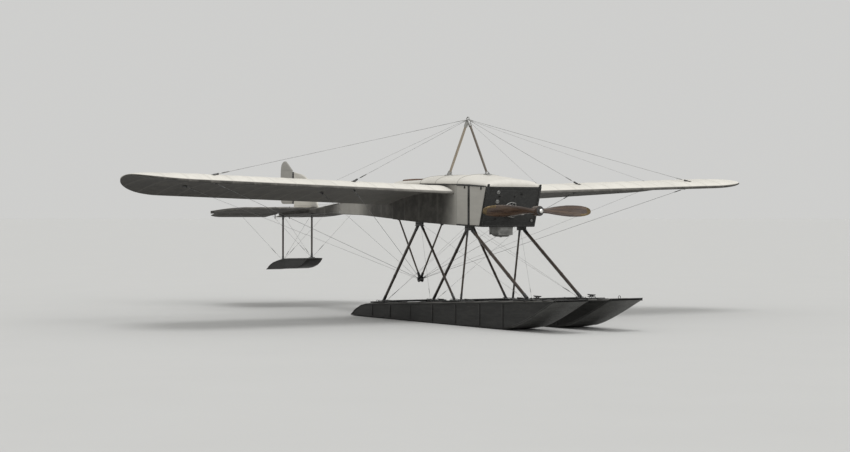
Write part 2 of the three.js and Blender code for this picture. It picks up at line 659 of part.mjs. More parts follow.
// Float struts: from a socket under the fuselage to a foot on the deck
const strutTable = [
  { name: "rear", top: "rear", topShift: -52, foot: "rear", footShift: 0, wide: 62, thin: 40 },
  { name: "rear_middle", top: "rear", topShift: 66, foot: "middle", footShift: -105, wide: 50, thin: 34 },
  { name: "front_middle", top: "front", topShift: -55, foot: "middle", footShift: 95, wide: 42, thin: 30 },
  { name: "front", top: "front", topShift: 72, foot: "front", footShift: -30, wide: 62, thin: 40 },
];
function strut({ top, topShift, foot, footShift, wide, thin }, sign) {
  const socket = strutTops[top];
  const socketZ = edge("low", socket.x) - socket.depth;
  const head = v3(socket.x + topShift, sign * strutY, socketZ);
  const base = v3(feet[foot].x + footShift, sign * (mainFloat.y - 5), footTop(feet[foot]));
  const along = head.clone().sub(base).normalize();
  const long = bar(base.clone().addScaledVector(along, -120), head.clone().addScaledVector(along, 120), wide, thin);
  const belowFoot = block(-9000, -3000, -3000, 9000, 3000, base.z + gap);
  const aboveSocket = block(-9000, -3000, head.z - gap, 9000, 3000, 3000);
  return cut(long, belowFoot, aboveSocket);
}
for (const { name, sign } of sides)
  for (const row of strutTable)
    place(`float_strut_${row.name}_${name}`, strut(row, sign), varnishedWood);

// Tail float and its two upright struts, in the airframe's frame
const tailProfile = [
  { x: -6180, top: -652, low: -672 },
  { x: -6260, top: -654, low: -740 },
  { x: -6370, top: -657, low: -798 },
  { x: -6530, top: -662, low: -842 },
  { x: -6720, top: -668, low: -866 },
  { x: -7170, top: -680, low: -885 },
  { x: -7330, top: -704, low: -891 },
  { x: -7580, top: -756, low: -900 },
  { x: -7700, top: -800, low: -905 },
  { x: -7880, top: -902, low: -918 },
];
const tailFloat = hull(tailProfile, 170, 8);
place("tail_float", tailFloat, paintedWood);
for (const [name, x, foot] of [["front", -6300, -690], ["rear", -7490, -780]]) {
  const top = edge("low", x);
  const pads = [block(x - 60, -40, top - 14, x + 60, 40, top + 20), block(x - 60, -40, foot, x + 60, 40, -640)];
  const whole = join(bar(v3(x, 0, foot), v3(x, 0, top), 44, 32), ...pads);
  const geometry = cut(whole, rear.clone().translate(0, 0, -gap), tailFloat.clone().translate(0, 0, gap));
  place(`tail_float_strut_${name}`, geometry, varnishedWood);
}

export default aircraft;
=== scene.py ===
# Looks of a wire-braced early monoplane on two long floats and a tail float.
# Metres. Pieces are drawn in the airframe's own frame: its origin is the middle of the lower
# fuselage edge at the front strut station, +X forward, +Y to port and +Z up.
# finishPiece moves each piece to the row frame.
import json
import math

import bmesh
import bpy
from mathutils import Matrix, Vector
from mathutils.bvhtree import BVHTree


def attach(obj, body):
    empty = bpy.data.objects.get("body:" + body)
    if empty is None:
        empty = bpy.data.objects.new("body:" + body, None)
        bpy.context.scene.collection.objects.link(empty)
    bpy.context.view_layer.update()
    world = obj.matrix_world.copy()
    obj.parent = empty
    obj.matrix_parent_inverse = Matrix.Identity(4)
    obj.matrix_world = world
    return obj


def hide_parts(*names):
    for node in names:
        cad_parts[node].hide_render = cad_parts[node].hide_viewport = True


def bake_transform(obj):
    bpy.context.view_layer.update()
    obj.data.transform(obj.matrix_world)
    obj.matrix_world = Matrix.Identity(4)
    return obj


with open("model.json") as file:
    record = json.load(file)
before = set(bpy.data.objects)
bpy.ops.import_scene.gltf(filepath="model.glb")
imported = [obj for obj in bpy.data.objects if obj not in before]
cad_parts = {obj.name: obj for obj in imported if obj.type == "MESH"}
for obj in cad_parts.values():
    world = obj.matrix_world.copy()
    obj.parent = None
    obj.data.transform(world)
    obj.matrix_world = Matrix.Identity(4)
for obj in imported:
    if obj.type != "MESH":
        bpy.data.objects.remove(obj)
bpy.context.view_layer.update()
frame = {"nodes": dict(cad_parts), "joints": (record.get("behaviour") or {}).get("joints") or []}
jointAt = {joint["name"]: Vector(joint["pos_m"]) for joint in frame["joints"]}

# The elevator's hinge fixes where the airframe's own frame lies in the row frame
elevatorHinge = {"x": -7.5, "z": 0.212}
station = jointAt["elevator_hinge"] - Vector((elevatorHinge["x"], 0, elevatorHinge["z"]))
sides = {"port": 1, "starboard": -1}


# Mesh helpers

def clamp(value, low=0.0, high=1.0):
    return max(low, min(high, value))


def blendTo(value, a, b, fromValue=0.0, toValue=1.0):
    share = clamp((value - a) / (b - a))
    return fromValue + (toValue - fromValue) * share


def rodBetween(bm, a, b, radius, endRadius=None, sides=10):
    a, b = Vector(a), Vector(b)
    turn = (b - a).to_track_quat("Z", "Y").to_matrix().to_4x4()
    made = bmesh.ops.create_cone(
        bm, cap_ends=True, segments=sides, radius1=radius,
        radius2=radius if endRadius is None else endRadius,
        depth=(b - a).length, matrix=Matrix.Translation((a + b) / 2) @ turn)
    return made["verts"]


def softBox(bm, centre, size, bevel=0.004, turn=None, segments=2):
    place = Matrix.Translation(centre) @ (turn or Matrix.Identity(4)) @ Matrix.Diagonal((*size, 1))
    made = bmesh.ops.create_cube(bm, size=1, matrix=place)["verts"]
    edges = list({edge for vert in made for edge in vert.link_edges})
    grown = bmesh.ops.bevel(
        bm, geom=edges, offset=bevel, segments=segments, profile=0.5, affect="EDGES", material=-1)
    return grown["faces"]


# Spins a profile of (distance along the axis, radius) all the way round
def turned(bm, profile, centre, axis, steps=32):
    centre, axis = Vector(centre), Vector(axis).normalized()
    side = axis.orthogonal().normalized()
    verts = [bm.verts.new(centre + axis * along + side * radius) for along, radius in profile]
    edges = [bm.edges.new(pair) for pair in zip(verts, verts[1:])]
    before = set(bm.faces)
    bmesh.ops.spin(bm, geom=verts + edges, cent=centre, axis=axis, dvec=(0, 0, 0),
                   angle=2 * math.pi, steps=steps, use_merge=True, use_duplicate=False)
    return [face for face in bm.faces if face not in before]


# Grows a skin through rings of points by extruding the first ring's edges again and again
def skinThrough(bm, rings, closed=True, caps=True):
    count = len(rings[0])
    spans = count if closed else count - 1
    current = [bm.verts.new(point) for point in rings[0]]
    edges = [bm.edges.new((current[i], current[(i + 1) % count])) for i in range(spans)]
    rows, ends = [current], [list(edges)]
    for ring in rings[1:]:
        grown = bmesh.ops.extrude_edge_only(bm, edges=edges)["geom"]
        fresh = {item for item in grown if isinstance(item, bmesh.types.BMVert)}
        follow = []
        for vert in current:
            follow.append(next(e.other_vert(vert) for e in vert.link_edges if e.other_vert(vert) in fresh))
        for vert, point in zip(follow, ring):
            vert.co = point
        edges = [bm.edges.get((follow[i], follow[(i + 1) % count])) for i in range(spans)]
        rows.append(follow)
        current = follow
    ends.append(list(edges))
    if caps:
        for row in (rows[0], rows[-1]):
            bm.faces.new(row)
    return rows


# A round bar along a path of points
def tubeAlong(bm, path, radius, sides=10, closed=False):
    path = [Vector(point) for point in path]
    count = len(path)
    rings, up = [], None
    for i, point in enumerate(path):
        before = path[i - 1] if (i > 0 or closed) else point
        after = path[(i + 1) % count] if (i + 1 < count or closed) else point
        along = (after - before).normalized()
        up = along.orthogonal() if up is None else up - along * up.dot(along)
        up.normalize()
        across = along.cross(up)
        size = radius[i] if isinstance(radius, (list, tuple)) else radius
        rings.append([point + (up * math.cos(a) + across * math.sin(a)) * size
                      for a in (k / sides * 2 * math.pi for k in range(sides))])
    rows = skinThrough(bm, rings, caps=not closed)
    if closed:
        for i in range(sides):
            j = (i + 1) % sides
            bm.faces.new((rows[-1][i], rows[-1][j], rows[0][j], rows[0][i]))
    return rows


# A bolt with a washer, seated at a point and standing out along a direction
def bolt(bm, seat, out, radius=0.009):
    seat, out = Vector(seat), Vector(out).normalized()
    rodBetween(bm, seat - out * 0.001, seat + out * radius * 0.3, radius * 1.5, sides=12)
    rodBetween(bm, seat, seat + out * radius * 1.1, radius, sides=6)
    rodBetween(bm, seat + out * radius * 1.1, seat + out * radius * 1.5, radius * 0.5, radius * 0.35, sides=8)


def rivet(bm, seat, out, radius=0.005):
    seat, out = Vector(seat), Vector(out).normalized()
    rodBetween(bm, seat - out * 0.0005, seat + out * radius * 0.5, radius, radius * 0.55, sides=8)


def finishPiece(bm, name, body, materials, replaces=(), sharp=32, weld=1e-5):
    bmesh.ops.remove_doubles(bm, verts=bm.verts, dist=weld)
    bmesh.ops.recalc_face_normals(bm, faces=bm.faces)
    bmesh.ops.translate(bm, vec=station, verts=bm.verts)
    for face in bm.faces:
        face.smooth = True
    for edge in bm.edges:
        edge.smooth = len(edge.link_faces) != 2 or edge.calc_face_angle(0) < math.radians(sharp)
    mesh = bpy.data.meshes.new(name)
    bm.to_mesh(mesh)
    bm.free()
    piece = bpy.data.objects.new(name, mesh)
    bpy.context.scene.collection.objects.link(piece)
    for material in materials if isinstance(materials, list) else [materials]:
        mesh.materials.append(material)
    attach(piece, body)
    if replaces:
        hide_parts(*replaces)
    return piece


# Wood along a leg: the attribute "grain" holds the place across the leg and along it
def grainMesh():
    bm = bmesh.new()
    bm.verts.layers.float_vector.new("grain")
    return bm


def paintFaces(faces, index):
    for face in faces:
        face.material_index = index


# Shader helpers

def newTree(name):
    material = bpy.data.materials.new(name)
    material.use_nodes = True
    tree = material.node_tree
    tree.nodes.clear()
    output = tree.nodes.new("ShaderNodeOutputMaterial")
    shader = tree.nodes.new("ShaderNodeBsdfPrincipled")
    tree.links.new(shader.outputs["BSDF"], output.inputs["Surface"])
    return material, tree, shader


def feed(tree, socket, source):
    if isinstance(source, bpy.types.NodeSocket):
        tree.links.new(source, socket)
    elif isinstance(source, (tuple, list)):
        socket.default_value = (*source, 1.0) if len(source) == 3 and len(socket.default_value) == 4 else source
    else:
        socket.default_value = source


def mathNode(tree, operation, a, b=0.5, limit=False):
    node = tree.nodes.new("ShaderNodeMath")
    node.operation = operation
    node.use_clamp = limit
    feed(tree, node.inputs[0], a)
    feed(tree, node.inputs[1], b)
    return node.outputs[0]


def mixColour(tree, share, a, b, blend="MIX"):
    node = tree.nodes.new("ShaderNodeMix")
    node.data_type = "RGBA"
    node.blend_type = blend
    feed(tree, node.inputs[0], share)
    feed(tree, node.inputs[6], a)
    feed(tree, node.inputs[7], b)
    return node.outputs[2]


def spread(tree, value, fromLow, fromHigh, toLow=0.0, toHigh=1.0, smooth=False):
    node = tree.nodes.new("ShaderNodeMapRange")
    node.interpolation_type = "SMOOTHSTEP" if smooth else "LINEAR"
    for socket, number in zip(list(node.inputs)[1:5], (fromLow, fromHigh, toLow, toHigh)):
        socket.default_value = number
    feed(tree, node.inputs[0], value)
    return node.outputs[0]


def objectCoords(tree, scale=(1, 1, 1), turn=(0, 0, 0)):
    coords = tree.nodes.new("ShaderNodeTexCoord")
    mapping = tree.nodes.new("ShaderNodeMapping")
    mapping.inputs["Scale"].default_value = scale
    mapping.inputs["Rotation"].default_value = turn
    tree.links.new(coords.outputs["Object"], mapping.inputs["Vector"])
    return mapping.outputs[0]


def noiseOf(tree, vector, scale, detail=4.0, rough=0.55, distortion=0.0):
    node = tree.nodes.new("ShaderNodeTexNoise")
    tree.links.new(vector, node.inputs["Vector"])
    node.inputs["Scale"].default_value = scale
    node.inputs["Detail"].default_value = detail
    node.inputs["Roughness"].default_value = rough
    node.inputs["Distortion"].default_value = distortion
    return node.outputs["Fac"]


def newGroup(name, inputs, outputs):
    tree = bpy.data.node_groups.new(name, "ShaderNodeTree")
    for label, kind, start in inputs:
        socket = tree.interface.new_socket(label, in_out="INPUT", socket_type=kind)
        if start is not None:
            socket.default_value = start
    for label, kind in outputs:
        tree.interface.new_socket(label, in_out="OUTPUT", socket_type=kind)
    return tree, tree.nodes.new("NodeGroupInput"), tree.nodes.new("NodeGroupOutput")


def useGroup(tree, group, **values):
    node = tree.nodes.new("ShaderNodeGroup")
    node.node_tree = group
    for label, value in values.items():
        feed(tree, node.inputs[label], value)
    return node.outputs


def bumpFrom(tree, shader, height, strength, distance):
    node = tree.nodes.new("ShaderNodeBump")
    node.inputs["Strength"].default_value = strength
    node.inputs["Distance"].default_value = distance
    tree.links.new(height, node.inputs["Height"])
    tree.links.new(node.outputs[0], shader.inputs["Normal"])


# Blotches at two sizes, as dope, dust and damp leave them
def makeMottleGroup():
    tree, source, sink = newGroup(
        "mottle", [("Vector", "NodeSocketVector", None), ("Scale", "NodeSocketFloat", 1.0)],
        [("Broad", "NodeSocketFloat"), ("Fine", "NodeSocketFloat")])
    scaled = tree.nodes.new("ShaderNodeVectorMath")
    scaled.operation = "SCALE"
    tree.links.new(source.outputs["Vector"], scaled.inputs[0])
    tree.links.new(source.outputs["Scale"], scaled.inputs["Scale"])
    broad = noiseOf(tree, scaled.outputs[0], 1.3, 5, 0.6, 0.4)
    fine = noiseOf(tree, scaled.outputs[0], 9.0, 6, 0.65)
    tree.links.new(spread(tree, broad, 0.35, 0.68, smooth=True), sink.inputs["Broad"])
    tree.links.new(spread(tree, fine, 0.38, 0.66, smooth=True), sink.inputs["Fine"])
    return tree


# Long streaks: the vector is squeezed along the run before it comes in
def makeStreakGroup():
    tree, source, sink = newGroup(
        "streaks", [("Vector", "NodeSocketVector", None)], [("Mask", "NodeSocketFloat"), ("Height", "NodeSocketFloat")])
    noise = noiseOf(tree, source.outputs["Vector"], 6.0, 7, 0.62, 0.8)
    fine = noiseOf(tree, source.outputs["Vector"], 34.0, 3, 0.5)
    mask = spread(tree, noise, 0.4, 0.62, smooth=True)
    tree.links.new(mask, sink.inputs["Mask"])
    tree.links.new(mathNode(tree, "ADD", mathNode(tree, "MULTIPLY", mask, 0.6), mathNode(tree, "MULTIPLY", fine, 0.4)),
                   sink.inputs["Height"])
    return tree


# Plain weave: two crossed sets of fine waves
def makeWeaveGroup():
    tree, source, sink = newGroup(
        "weave", [("Vector", "NodeSocketVector", None)], [("Height", "NodeSocketFloat")])
    heights = []
    for direction in ("X", "Y", "Z"):
        wave = tree.nodes.new("ShaderNodeTexWave")
        wave.bands_direction = direction
        wave.inputs["Scale"].default_value = 120.0
        wave.inputs["Distortion"].default_value = 0.6
        tree.links.new(source.outputs["Vector"], wave.inputs["Vector"])
        heights.append(wave.outputs["Fac"])
    crossed = mathNode(tree, "ADD", mathNode(tree, "MULTIPLY", heights[0], heights[1]), heights[2])
    tree.links.new(mathNode(tree, "MULTIPLY", crossed, 0.5), sink.inputs["Height"])
    return tree


# Small bright or dark scuffs, thicker where the first noise says so
def makeScuffGroup():
    tree, source, sink = newGroup(
        "scuffs", [("Vector", "NodeSocketVector", None), ("Amount", "NodeSocketFloat", 0.5)],
        [("Mask", "NodeSocketFloat"), ("Dust", "NodeSocketFloat")])
    patch = spread(tree, noiseOf(tree, source.outputs["Vector"], 3.0, 3), 0.4, 0.7, smooth=True)
    marks = noiseOf(tree, source.outputs["Vector"], 46.0, 9, 0.74, 0.15)
    worn = mathNode(tree, "MULTIPLY", spread(tree, marks, 0.55, 0.66), mathNode(tree, "ADD", patch, 0.25), True)
    tree.links.new(mathNode(tree, "MULTIPLY", worn, source.outputs["Amount"], True), sink.inputs["Mask"])
    dust = noiseOf(tree, source.outputs["Vector"], 1.1, 6, 0.6)
    tree.links.new(spread(tree, dust, 0.42, 0.75, smooth=True), sink.inputs["Dust"])
    return tree


mottleGroup = makeMottleGroup()
streakGroup = makeStreakGroup()
weaveGroup = makeWeaveGroup()
scuffGroup = makeScuffGroup()


# Doped linen. The piece's own attribute "cloth" holds distance along the cord or side in metres,
# the count of ribs or frames, and how much painted shade shows. The colour "under" is that painted shade,
# the dark put on undersides and on sides that lie in shade.
linenLook = {"pale": (0.70, 0.676, 0.62), "under": (0.058, 0.055, 0.050), "tape": 0.045, "rough": 0.72, "stitch": 0.05}


def makeLinen(name, pale=None, tapes=True):
    look = linenLook
    pale = pale or look["pale"]
    toned = {share: tuple(channel * share for channel in pale) for share in (0.45, 0.62, 0.7, 0.84)}
    material, tree, shader = newTree(name)
    coords = objectCoords(tree)
    cloth = tree.nodes.new("ShaderNodeAttribute")
    cloth.attribute_name = "cloth"
    parts = tree.nodes.new("ShaderNodeSeparateXYZ")
    tree.links.new(cloth.outputs["Vector"], parts.inputs[0])
    mottle = useGroup(tree, mottleGroup, Vector=coords, Scale=0.8)
    weave = useGroup(tree, weaveGroup, Vector=coords)
    runs = useGroup(tree, streakGroup, Vector=objectCoords(tree, (0.35, 1.6, 1.6)))
    colour = mixColour(tree, mathNode(tree, "MULTIPLY", mottle["Broad"], 0.6), pale, toned[0.84])
    colour = mixColour(tree, mathNode(tree, "MULTIPLY", runs["Mask"], 0.18), colour, toned[0.7])
    fraction = mathNode(tree, "FRACT", mathNode(tree, "ADD", parts.outputs["Y"], 0.5))
    offCentre = mathNode(tree, "ABSOLUTE", mathNode(tree, "SUBTRACT", fraction, 0.5))
    tape = spread(tree, offCentre, look["tape"] * 1.12, look["tape"])
    rim = mathNode(tree, "MULTIPLY", tape, spread(tree, offCentre, look["tape"] * 0.72, look["tape"] * 0.9))
    step = mathNode(tree, "FRACT", mathNode(tree, "DIVIDE", parts.outputs["X"], look["stitch"]))
    thread = mathNode(tree, "MULTIPLY", spread(tree, offCentre, look["tape"] * 0.16, look["tape"] * 0.08), mathNode(tree, "LESS_THAN", step, 0.3))
    if tapes:
        colour = mixColour(tree, mathNode(tree, "MULTIPLY", tape, 0.14), colour, toned[0.62])
        colour = mixColour(tree, mathNode(tree, "MULTIPLY", mathNode(tree, "ADD", rim, thread, True), 0.42), colour, toned[0.45])
    # Painted shade: the dark "under" colour, mottled and with the tapes lighter on it, mixed in by the attribute's
    # third channel
    paintedShadeTone = mixColour(tree, mottle["Fine"], tuple(c * 0.7 for c in look["under"]), tuple(c * 1.5 for c in look["under"]))
    paintedShadeTone = mixColour(tree, mathNode(tree, "MULTIPLY", tape, 0.35), paintedShadeTone, tuple(c * 2.4 for c in look["under"]))
    colour = mixColour(tree, parts.outputs["Z"], colour, paintedShadeTone)
    feed(tree, shader.inputs["Base Color"], colour)
    feed(tree, shader.inputs["Roughness"], spread(tree, mottle["Fine"], 0, 1, look["rough"] - 0.08, look["rough"] + 0.1))
    shader.inputs["Specular IOR Level"].default_value = 0.12
    height = mathNode(tree, "MULTIPLY", weave["Height"], 0.25)
    if tapes:
        sewn = mathNode(tree, "ADD", tape, mathNode(tree, "MULTIPLY", thread, 0.5))
        height = mathNode(tree, "ADD", height, sewn)
    bumpFrom(tree, shader, height, 0.6, 0.0014)
    return material


def makeWood(name, dark, light, rough=0.42, scale=(0.6, 9, 9), coat=0.25, alongLeg=False):
    material, tree, shader = newTree(name)
    coords = objectCoords(tree, scale)
    if alongLeg:
        grainSpot = tree.nodes.new("ShaderNodeAttribute")
        grainSpot.attribute_name = "grain"
        tree.links.new(grainSpot.outputs["Vector"], coords.node.inputs["Vector"])
    grain = useGroup(tree, streakGroup, Vector=coords)
    scuff = useGroup(tree, scuffGroup, Vector=objectCoords(tree), Amount=0.5)
    colour = mixColour(tree, grain["Mask"], dark, light)
    colour = mixColour(tree, scuff["Mask"], colour, tuple(min(1.0, c * 2.2 + 0.03) for c in light))
    feed(tree, shader.inputs["Base Color"], colour)
    feed(tree, shader.inputs["Roughness"], spread(tree, scuff["Dust"], 0, 1, rough - 0.08, rough + 0.2))
    shader.inputs["Coat Roughness"].default_value = 0.25
    shader.inputs["Coat Weight"].default_value = coat
    bumpFrom(tree, shader, grain["Height"], 0.35, 0.0012)
    return material


# Laminated wood: thin layers stacked across the propeller's axis, walnut and a paler wood in turn
def makeLaminate():
    material, tree, shader = newTree("laminated_walnut")
    coords = objectCoords(tree)
    parts = tree.nodes.new("ShaderNodeSeparateXYZ")
    tree.links.new(coords, parts.inputs[0])
    layers = mathNode(tree, "FRACT", mathNode(tree, "MULTIPLY", parts.outputs["X"], 1 / 0.044))
    pale = spread(tree, mathNode(tree, "ABSOLUTE", mathNode(tree, "SUBTRACT", layers, 0.5)), 0.24, 0.26)
    grain = useGroup(tree, streakGroup, Vector=objectCoords(tree, (9, 0.7, 9)))
    walnut = mixColour(tree, grain["Mask"], (0.030, 0.016, 0.010), (0.052, 0.028, 0.016))
    ash = mixColour(tree, grain["Mask"], (0.048, 0.027, 0.016), (0.078, 0.046, 0.027))
    feed(tree, shader.inputs["Base Color"], mixColour(tree, pale, walnut, ash))
    feed(tree, shader.inputs["Roughness"], spread(tree, grain["Mask"], 0, 1, 0.24, 0.36))
    shader.inputs["Coat Weight"].default_value = 0.5
    shader.inputs["Coat Roughness"].default_value = 0.14
    bumpFrom(tree, shader, grain["Height"], 0.2, 0.0006)
    return material


def makePaint(name, colour, worn, rough=0.5, amount=0.5, streakScale=(0.5, 4, 4), dusty=0.35, gloss=0.25):
    material, tree, shader = newTree(name)
    shader.inputs["Specular IOR Level"].default_value = gloss
    scuff = useGroup(tree, scuffGroup, Vector=objectCoords(tree), Amount=amount)
    runs = useGroup(tree, streakGroup, Vector=objectCoords(tree, streakScale))
    base = mixColour(tree, runs["Mask"], colour, tuple(c * 1.45 + 0.004 for c in colour))
    base = mixColour(tree, mathNode(tree, "MULTIPLY", scuff["Dust"], dusty), base, tuple(c * 0.55 + 0.06 for c in colour))
    base = mixColour(tree, scuff["Mask"], base, worn)
    feed(tree, shader.inputs["Base Color"], base)
    feed(tree, shader.inputs["Roughness"], spread(tree, scuff["Dust"], 0, 1, rough - 0.1, rough + 0.2))
    bumpFrom(tree, shader, mathNode(tree, "SUBTRACT", runs["Height"], scuff["Mask"]), 0.3, 0.001)
    return material


def makeMetal(name, colour, rough=0.35, tarnish=(0.1, 0.09, 0.08), tarnishShare=0.5, metallic=1.0, lathe=False):
    material, tree, shader = newTree(name)
    scuff = useGroup(tree, scuffGroup, Vector=objectCoords(tree), Amount=0.8)
    mottle = useGroup(tree, mottleGroup, Vector=objectCoords(tree), Scale=6.0)
    dull = mathNode(tree, "MULTIPLY", mottle["Broad"], tarnishShare)
    base = mixColour(tree, dull, colour, tarnish)
    base = mixColour(tree, mathNode(tree, "MULTIPLY", scuff["Mask"], 0.5), base, tuple(min(1, c * 1.4 + 0.05) for c in colour))
    feed(tree, shader.inputs["Base Color"], base)
    feed(tree, shader.inputs["Roughness"], spread(tree, mottle["Fine"], 0, 1, rough - 0.08, rough + 0.18))
    shader.inputs["Metallic"].default_value = metallic
    bumpFrom(tree, shader, mathNode(tree, "ADD", mottle["Fine"], scuff["Mask"]), 0.25, 0.0006)
    return material


def makeLeather(name, colour):
    material, tree, shader = newTree(name)
    coords = objectCoords(tree)
    cells = tree.nodes.new("ShaderNodeTexVoronoi")
    cells.feature = "DISTANCE_TO_EDGE"
    cells.inputs["Scale"].default_value = 260.0
    tree.links.new(coords, cells.inputs["Vector"])
    mottle = useGroup(tree, mottleGroup, Vector=coords, Scale=5.0)
    base = mixColour(tree, mottle["Broad"], colour, tuple(c * 0.55 for c in colour))
    base = mixColour(tree, mathNode(tree, "MULTIPLY", mottle["Fine"], 0.35), base, tuple(c * 1.8 for c in colour))
    feed(tree, shader.inputs["Base Color"], base)
    feed(tree, shader.inputs["Roughness"], spread(tree, mottle["Fine"], 0, 1, 0.42, 0.66))
    creases = spread(tree, cells.outputs["Distance"], 0.0, 0.12)
    bumpFrom(tree, shader, mathNode(tree, "ADD", creases, mottle["Fine"]), 0.4, 0.0008)
    return material


# Wire rope: fine slanting strands along the run
def makeWire(name, colour):
    material, tree, shader = newTree(name)
    wave = tree.nodes.new("ShaderNodeTexWave")
    wave.bands_direction = "DIAGONAL"
    wave.inputs["Scale"].default_value = 55.0
    tree.links.new(objectCoords(tree), wave.inputs["Vector"])
    mottle = useGroup(tree, mottleGroup, Vector=objectCoords(tree), Scale=4.0)
    base = mixColour(tree, mottle["Broad"], colour, tuple(c * 0.45 for c in colour))
    feed(tree, shader.inputs["Base Color"], base)
    feed(tree, shader.inputs["Roughness"], spread(tree, mottle["Fine"], 0, 1, 0.35, 0.6))
    shader.inputs["Metallic"].default_value = 0.7
    bumpFrom(tree, shader, wave.outputs["Fac"], 0.6, 0.0008)
    return material


linen = makeLinen("doped_linen")
rudderLinen = makeLinen("grey_linen", pale=(0.38, 0.37, 0.345))
sideLinen = makeLinen("side_linen", pale=(0.455, 0.44, 0.403))
sideLinenRear = makeLinen("rear_linen", pale=(0.70, 0.675, 0.62))
finLinen = makeLinen("fin_linen", pale=(0.60, 0.58, 0.53))
deckPly = makeLinen("deck_ply", pale=(0.66, 0.638, 0.586), tapes=False)
strutWood = makeWood("strut_wood", (0.026, 0.018, 0.012), (0.046, 0.031, 0.020), scale=(22, 22, 0.9), alongLeg=True)
pylonWood = makeWood("pylon_wood", (0.085, 0.068, 0.052), (0.13, 0.106, 0.082), scale=(22, 22, 0.9), rough=0.5, alongLeg=True)
paleWood = makeWood("pale_wood", (0.27, 0.23, 0.18), (0.39, 0.335, 0.265), scale=(22, 22, 0.9), rough=0.5, alongLeg=True)
cabinWood = makeWood("cabin_wood", (0.20, 0.125, 0.065), (0.36, 0.235, 0.13))
boardWood = makeWood("board_wood", (0.20, 0.125, 0.065), (0.36, 0.235, 0.13), scale=(9, 0.6, 9))
uprightWood = makeWood("upright_wood", (0.20, 0.125, 0.065), (0.36, 0.235, 0.13), scale=(9, 9, 0.6))
laminate = makeLaminate()
floatPaint = makePaint("float_paint", (0.013, 0.013, 0.012), (0.13, 0.10, 0.07), rough=0.5, amount=0.35)
floatDeck = makePaint("float_deck", (0.060, 0.058, 0.052), (0.19, 0.155, 0.11), rough=0.62, amount=0.6)
stemMetal = makeMetal("stem_sheet", (0.085, 0.085, 0.08), 0.55, (0.04, 0.04, 0.038), 0.6, metallic=0.5)
darkSheet = makePaint("dark_sheet", (0.019, 0.019, 0.018), (0.13, 0.127, 0.12), rough=0.55, amount=0.5, streakScale=(5, 5, 5), dusty=0.25)
blackTrim = makePaint("black_trim", (0.017, 0.017, 0.016), (0.11, 0.10, 0.09), rough=0.4, amount=0.4, dusty=0.2)
castMetal = makeMetal("cast_metal", (0.56, 0.55, 0.53), 0.45, (0.15, 0.145, 0.135), 0.7)
brightMetal = makeMetal("bright_metal", (0.80, 0.79, 0.76), 0.30, (0.40, 0.38, 0.35), 0.4)
darkSteel = makeMetal("dark_steel", (0.11, 0.11, 0.11), 0.42, (0.035, 0.032, 0.03), 0.5)
brass = makeMetal("brass", (0.20, 0.15, 0.085), 0.4, (0.07, 0.052, 0.032), 0.75)
zinc = makeMetal("zinc", (0.13, 0.13, 0.125), 0.55, (0.06, 0.06, 0.058), 0.6, metallic=0.6)
ringIron = makeMetal("ring_iron", (0.42, 0.42, 0.41), 0.45, (0.12, 0.115, 0.11), 0.5)
wireSteel = makeWire("wire_rope", (0.34, 0.34, 0.34))
sumpMetal = makeMetal("sump_metal", (0.25, 0.25, 0.24), 0.5, (0.12, 0.117, 0.11), 0.6, metallic=0.5)
leather = makeLeather("brown_leather", (0.115, 0.060, 0.032))
darkLeather = makeLeather("lace_leather", (0.055, 0.032, 0.020))
paleThread = makeLeather("waxed_thread", (0.34, 0.27, 0.18))
dialFace = makePaint("dial_face", (0.62, 0.60, 0.54), (0.4, 0.38, 0.33), rough=0.4, amount=0.3)
print("materials made")


# Shape of the airframe: x, half width, lower edge, upper edge
fuselage = {
    "stations": [
        (0.53, 0.53, -0.014, 0.64), (0, 0.53, 0, 0.672), (-0.35, 0.53, 0.012, 0.682),
        (-1.54, 0.53, 0.057, 0.705), (-2.4, 0.53, 0.106, 0.69), (-3.7, 0.425, 0.172, 0.505),
        (-4.7, 0.33, 0.188, 0.385), (-6.0, 0.205, 0.206, 0.277), (-7.5, 0.09, 0.162, 0.191),
    ],
    "firewall": -0.35, "cockpitFront": -1.5, "bulkhead": -2.4, "sternpost": -7.5, "wall": 0.014,
    "rakeBottom": 0.33, "rakeTop": 0.53, "cockpitHalf": 0.33,
}
half, low, high = 1, 2, 3


def edgeAt(column, x):
    table = fuselage["stations"]
    if x >= table[0][0]:
        return table[0][column]
    i = next((k for k, row in enumerate(table) if row[0] <= x), len(table) - 1)
    a, b = table[i - 1], table[i]
    return a[column] + (b[column] - a[column]) * (x - a[0]) / (b[0] - a[0])


rake = (fuselage["rakeTop"] - fuselage["rakeBottom"]) / (edgeAt(high, 0.53) - edgeAt(low, 0.53))


def rakeX(z):
    return fuselage["rakeBottom"] + (z - edgeAt(low, 0.53)) * rake


def noseCrown(x):
    return 0.752 + (x - 0.53) / (-0.35 - 0.53) * (0.857 - 0.752)


def deckCrown(x):
    return 0.857 + (x + 0.35) / (-1.5 + 0.35) * (0.850 - 0.857)


def rearCrown(x):
    return edgeAt(high, x) + 0.095 + (x + 2.4) / (-6.0 + 2.4) * (0.004 - 0.095)


# Stretched cloth sinks a little between the frames that carry it
def sagBetween(x, frames, depth):
    for a, b in zip(frames, frames[1:]):
        if b <= x <= a:
            return depth * math.sin(math.pi * (x - a) / (b - a)) ** 2
    return 0.0


# Counts frames, so that a tape falls on each one
def frameCount(x, frames):
    for k, (a, b) in enumerate(zip(frames, frames[1:])):
        if x >= b:
            return k + (a - x) / (a - b)
    return len(frames) - 1.0


def clothLayer(bm):
    return bm.verts.layers.float_vector.get("cloth") or bm.verts.layers.float_vector.new("cloth")


# Painted shadow of the wing on the fuselage sides: pale ahead of the wing, painted dark in its lee
def paintedWingShadow(x, z):
    return blendTo(x, -0.34, -0.86 + 0.25 * z) ** 0.8


# Fuselage

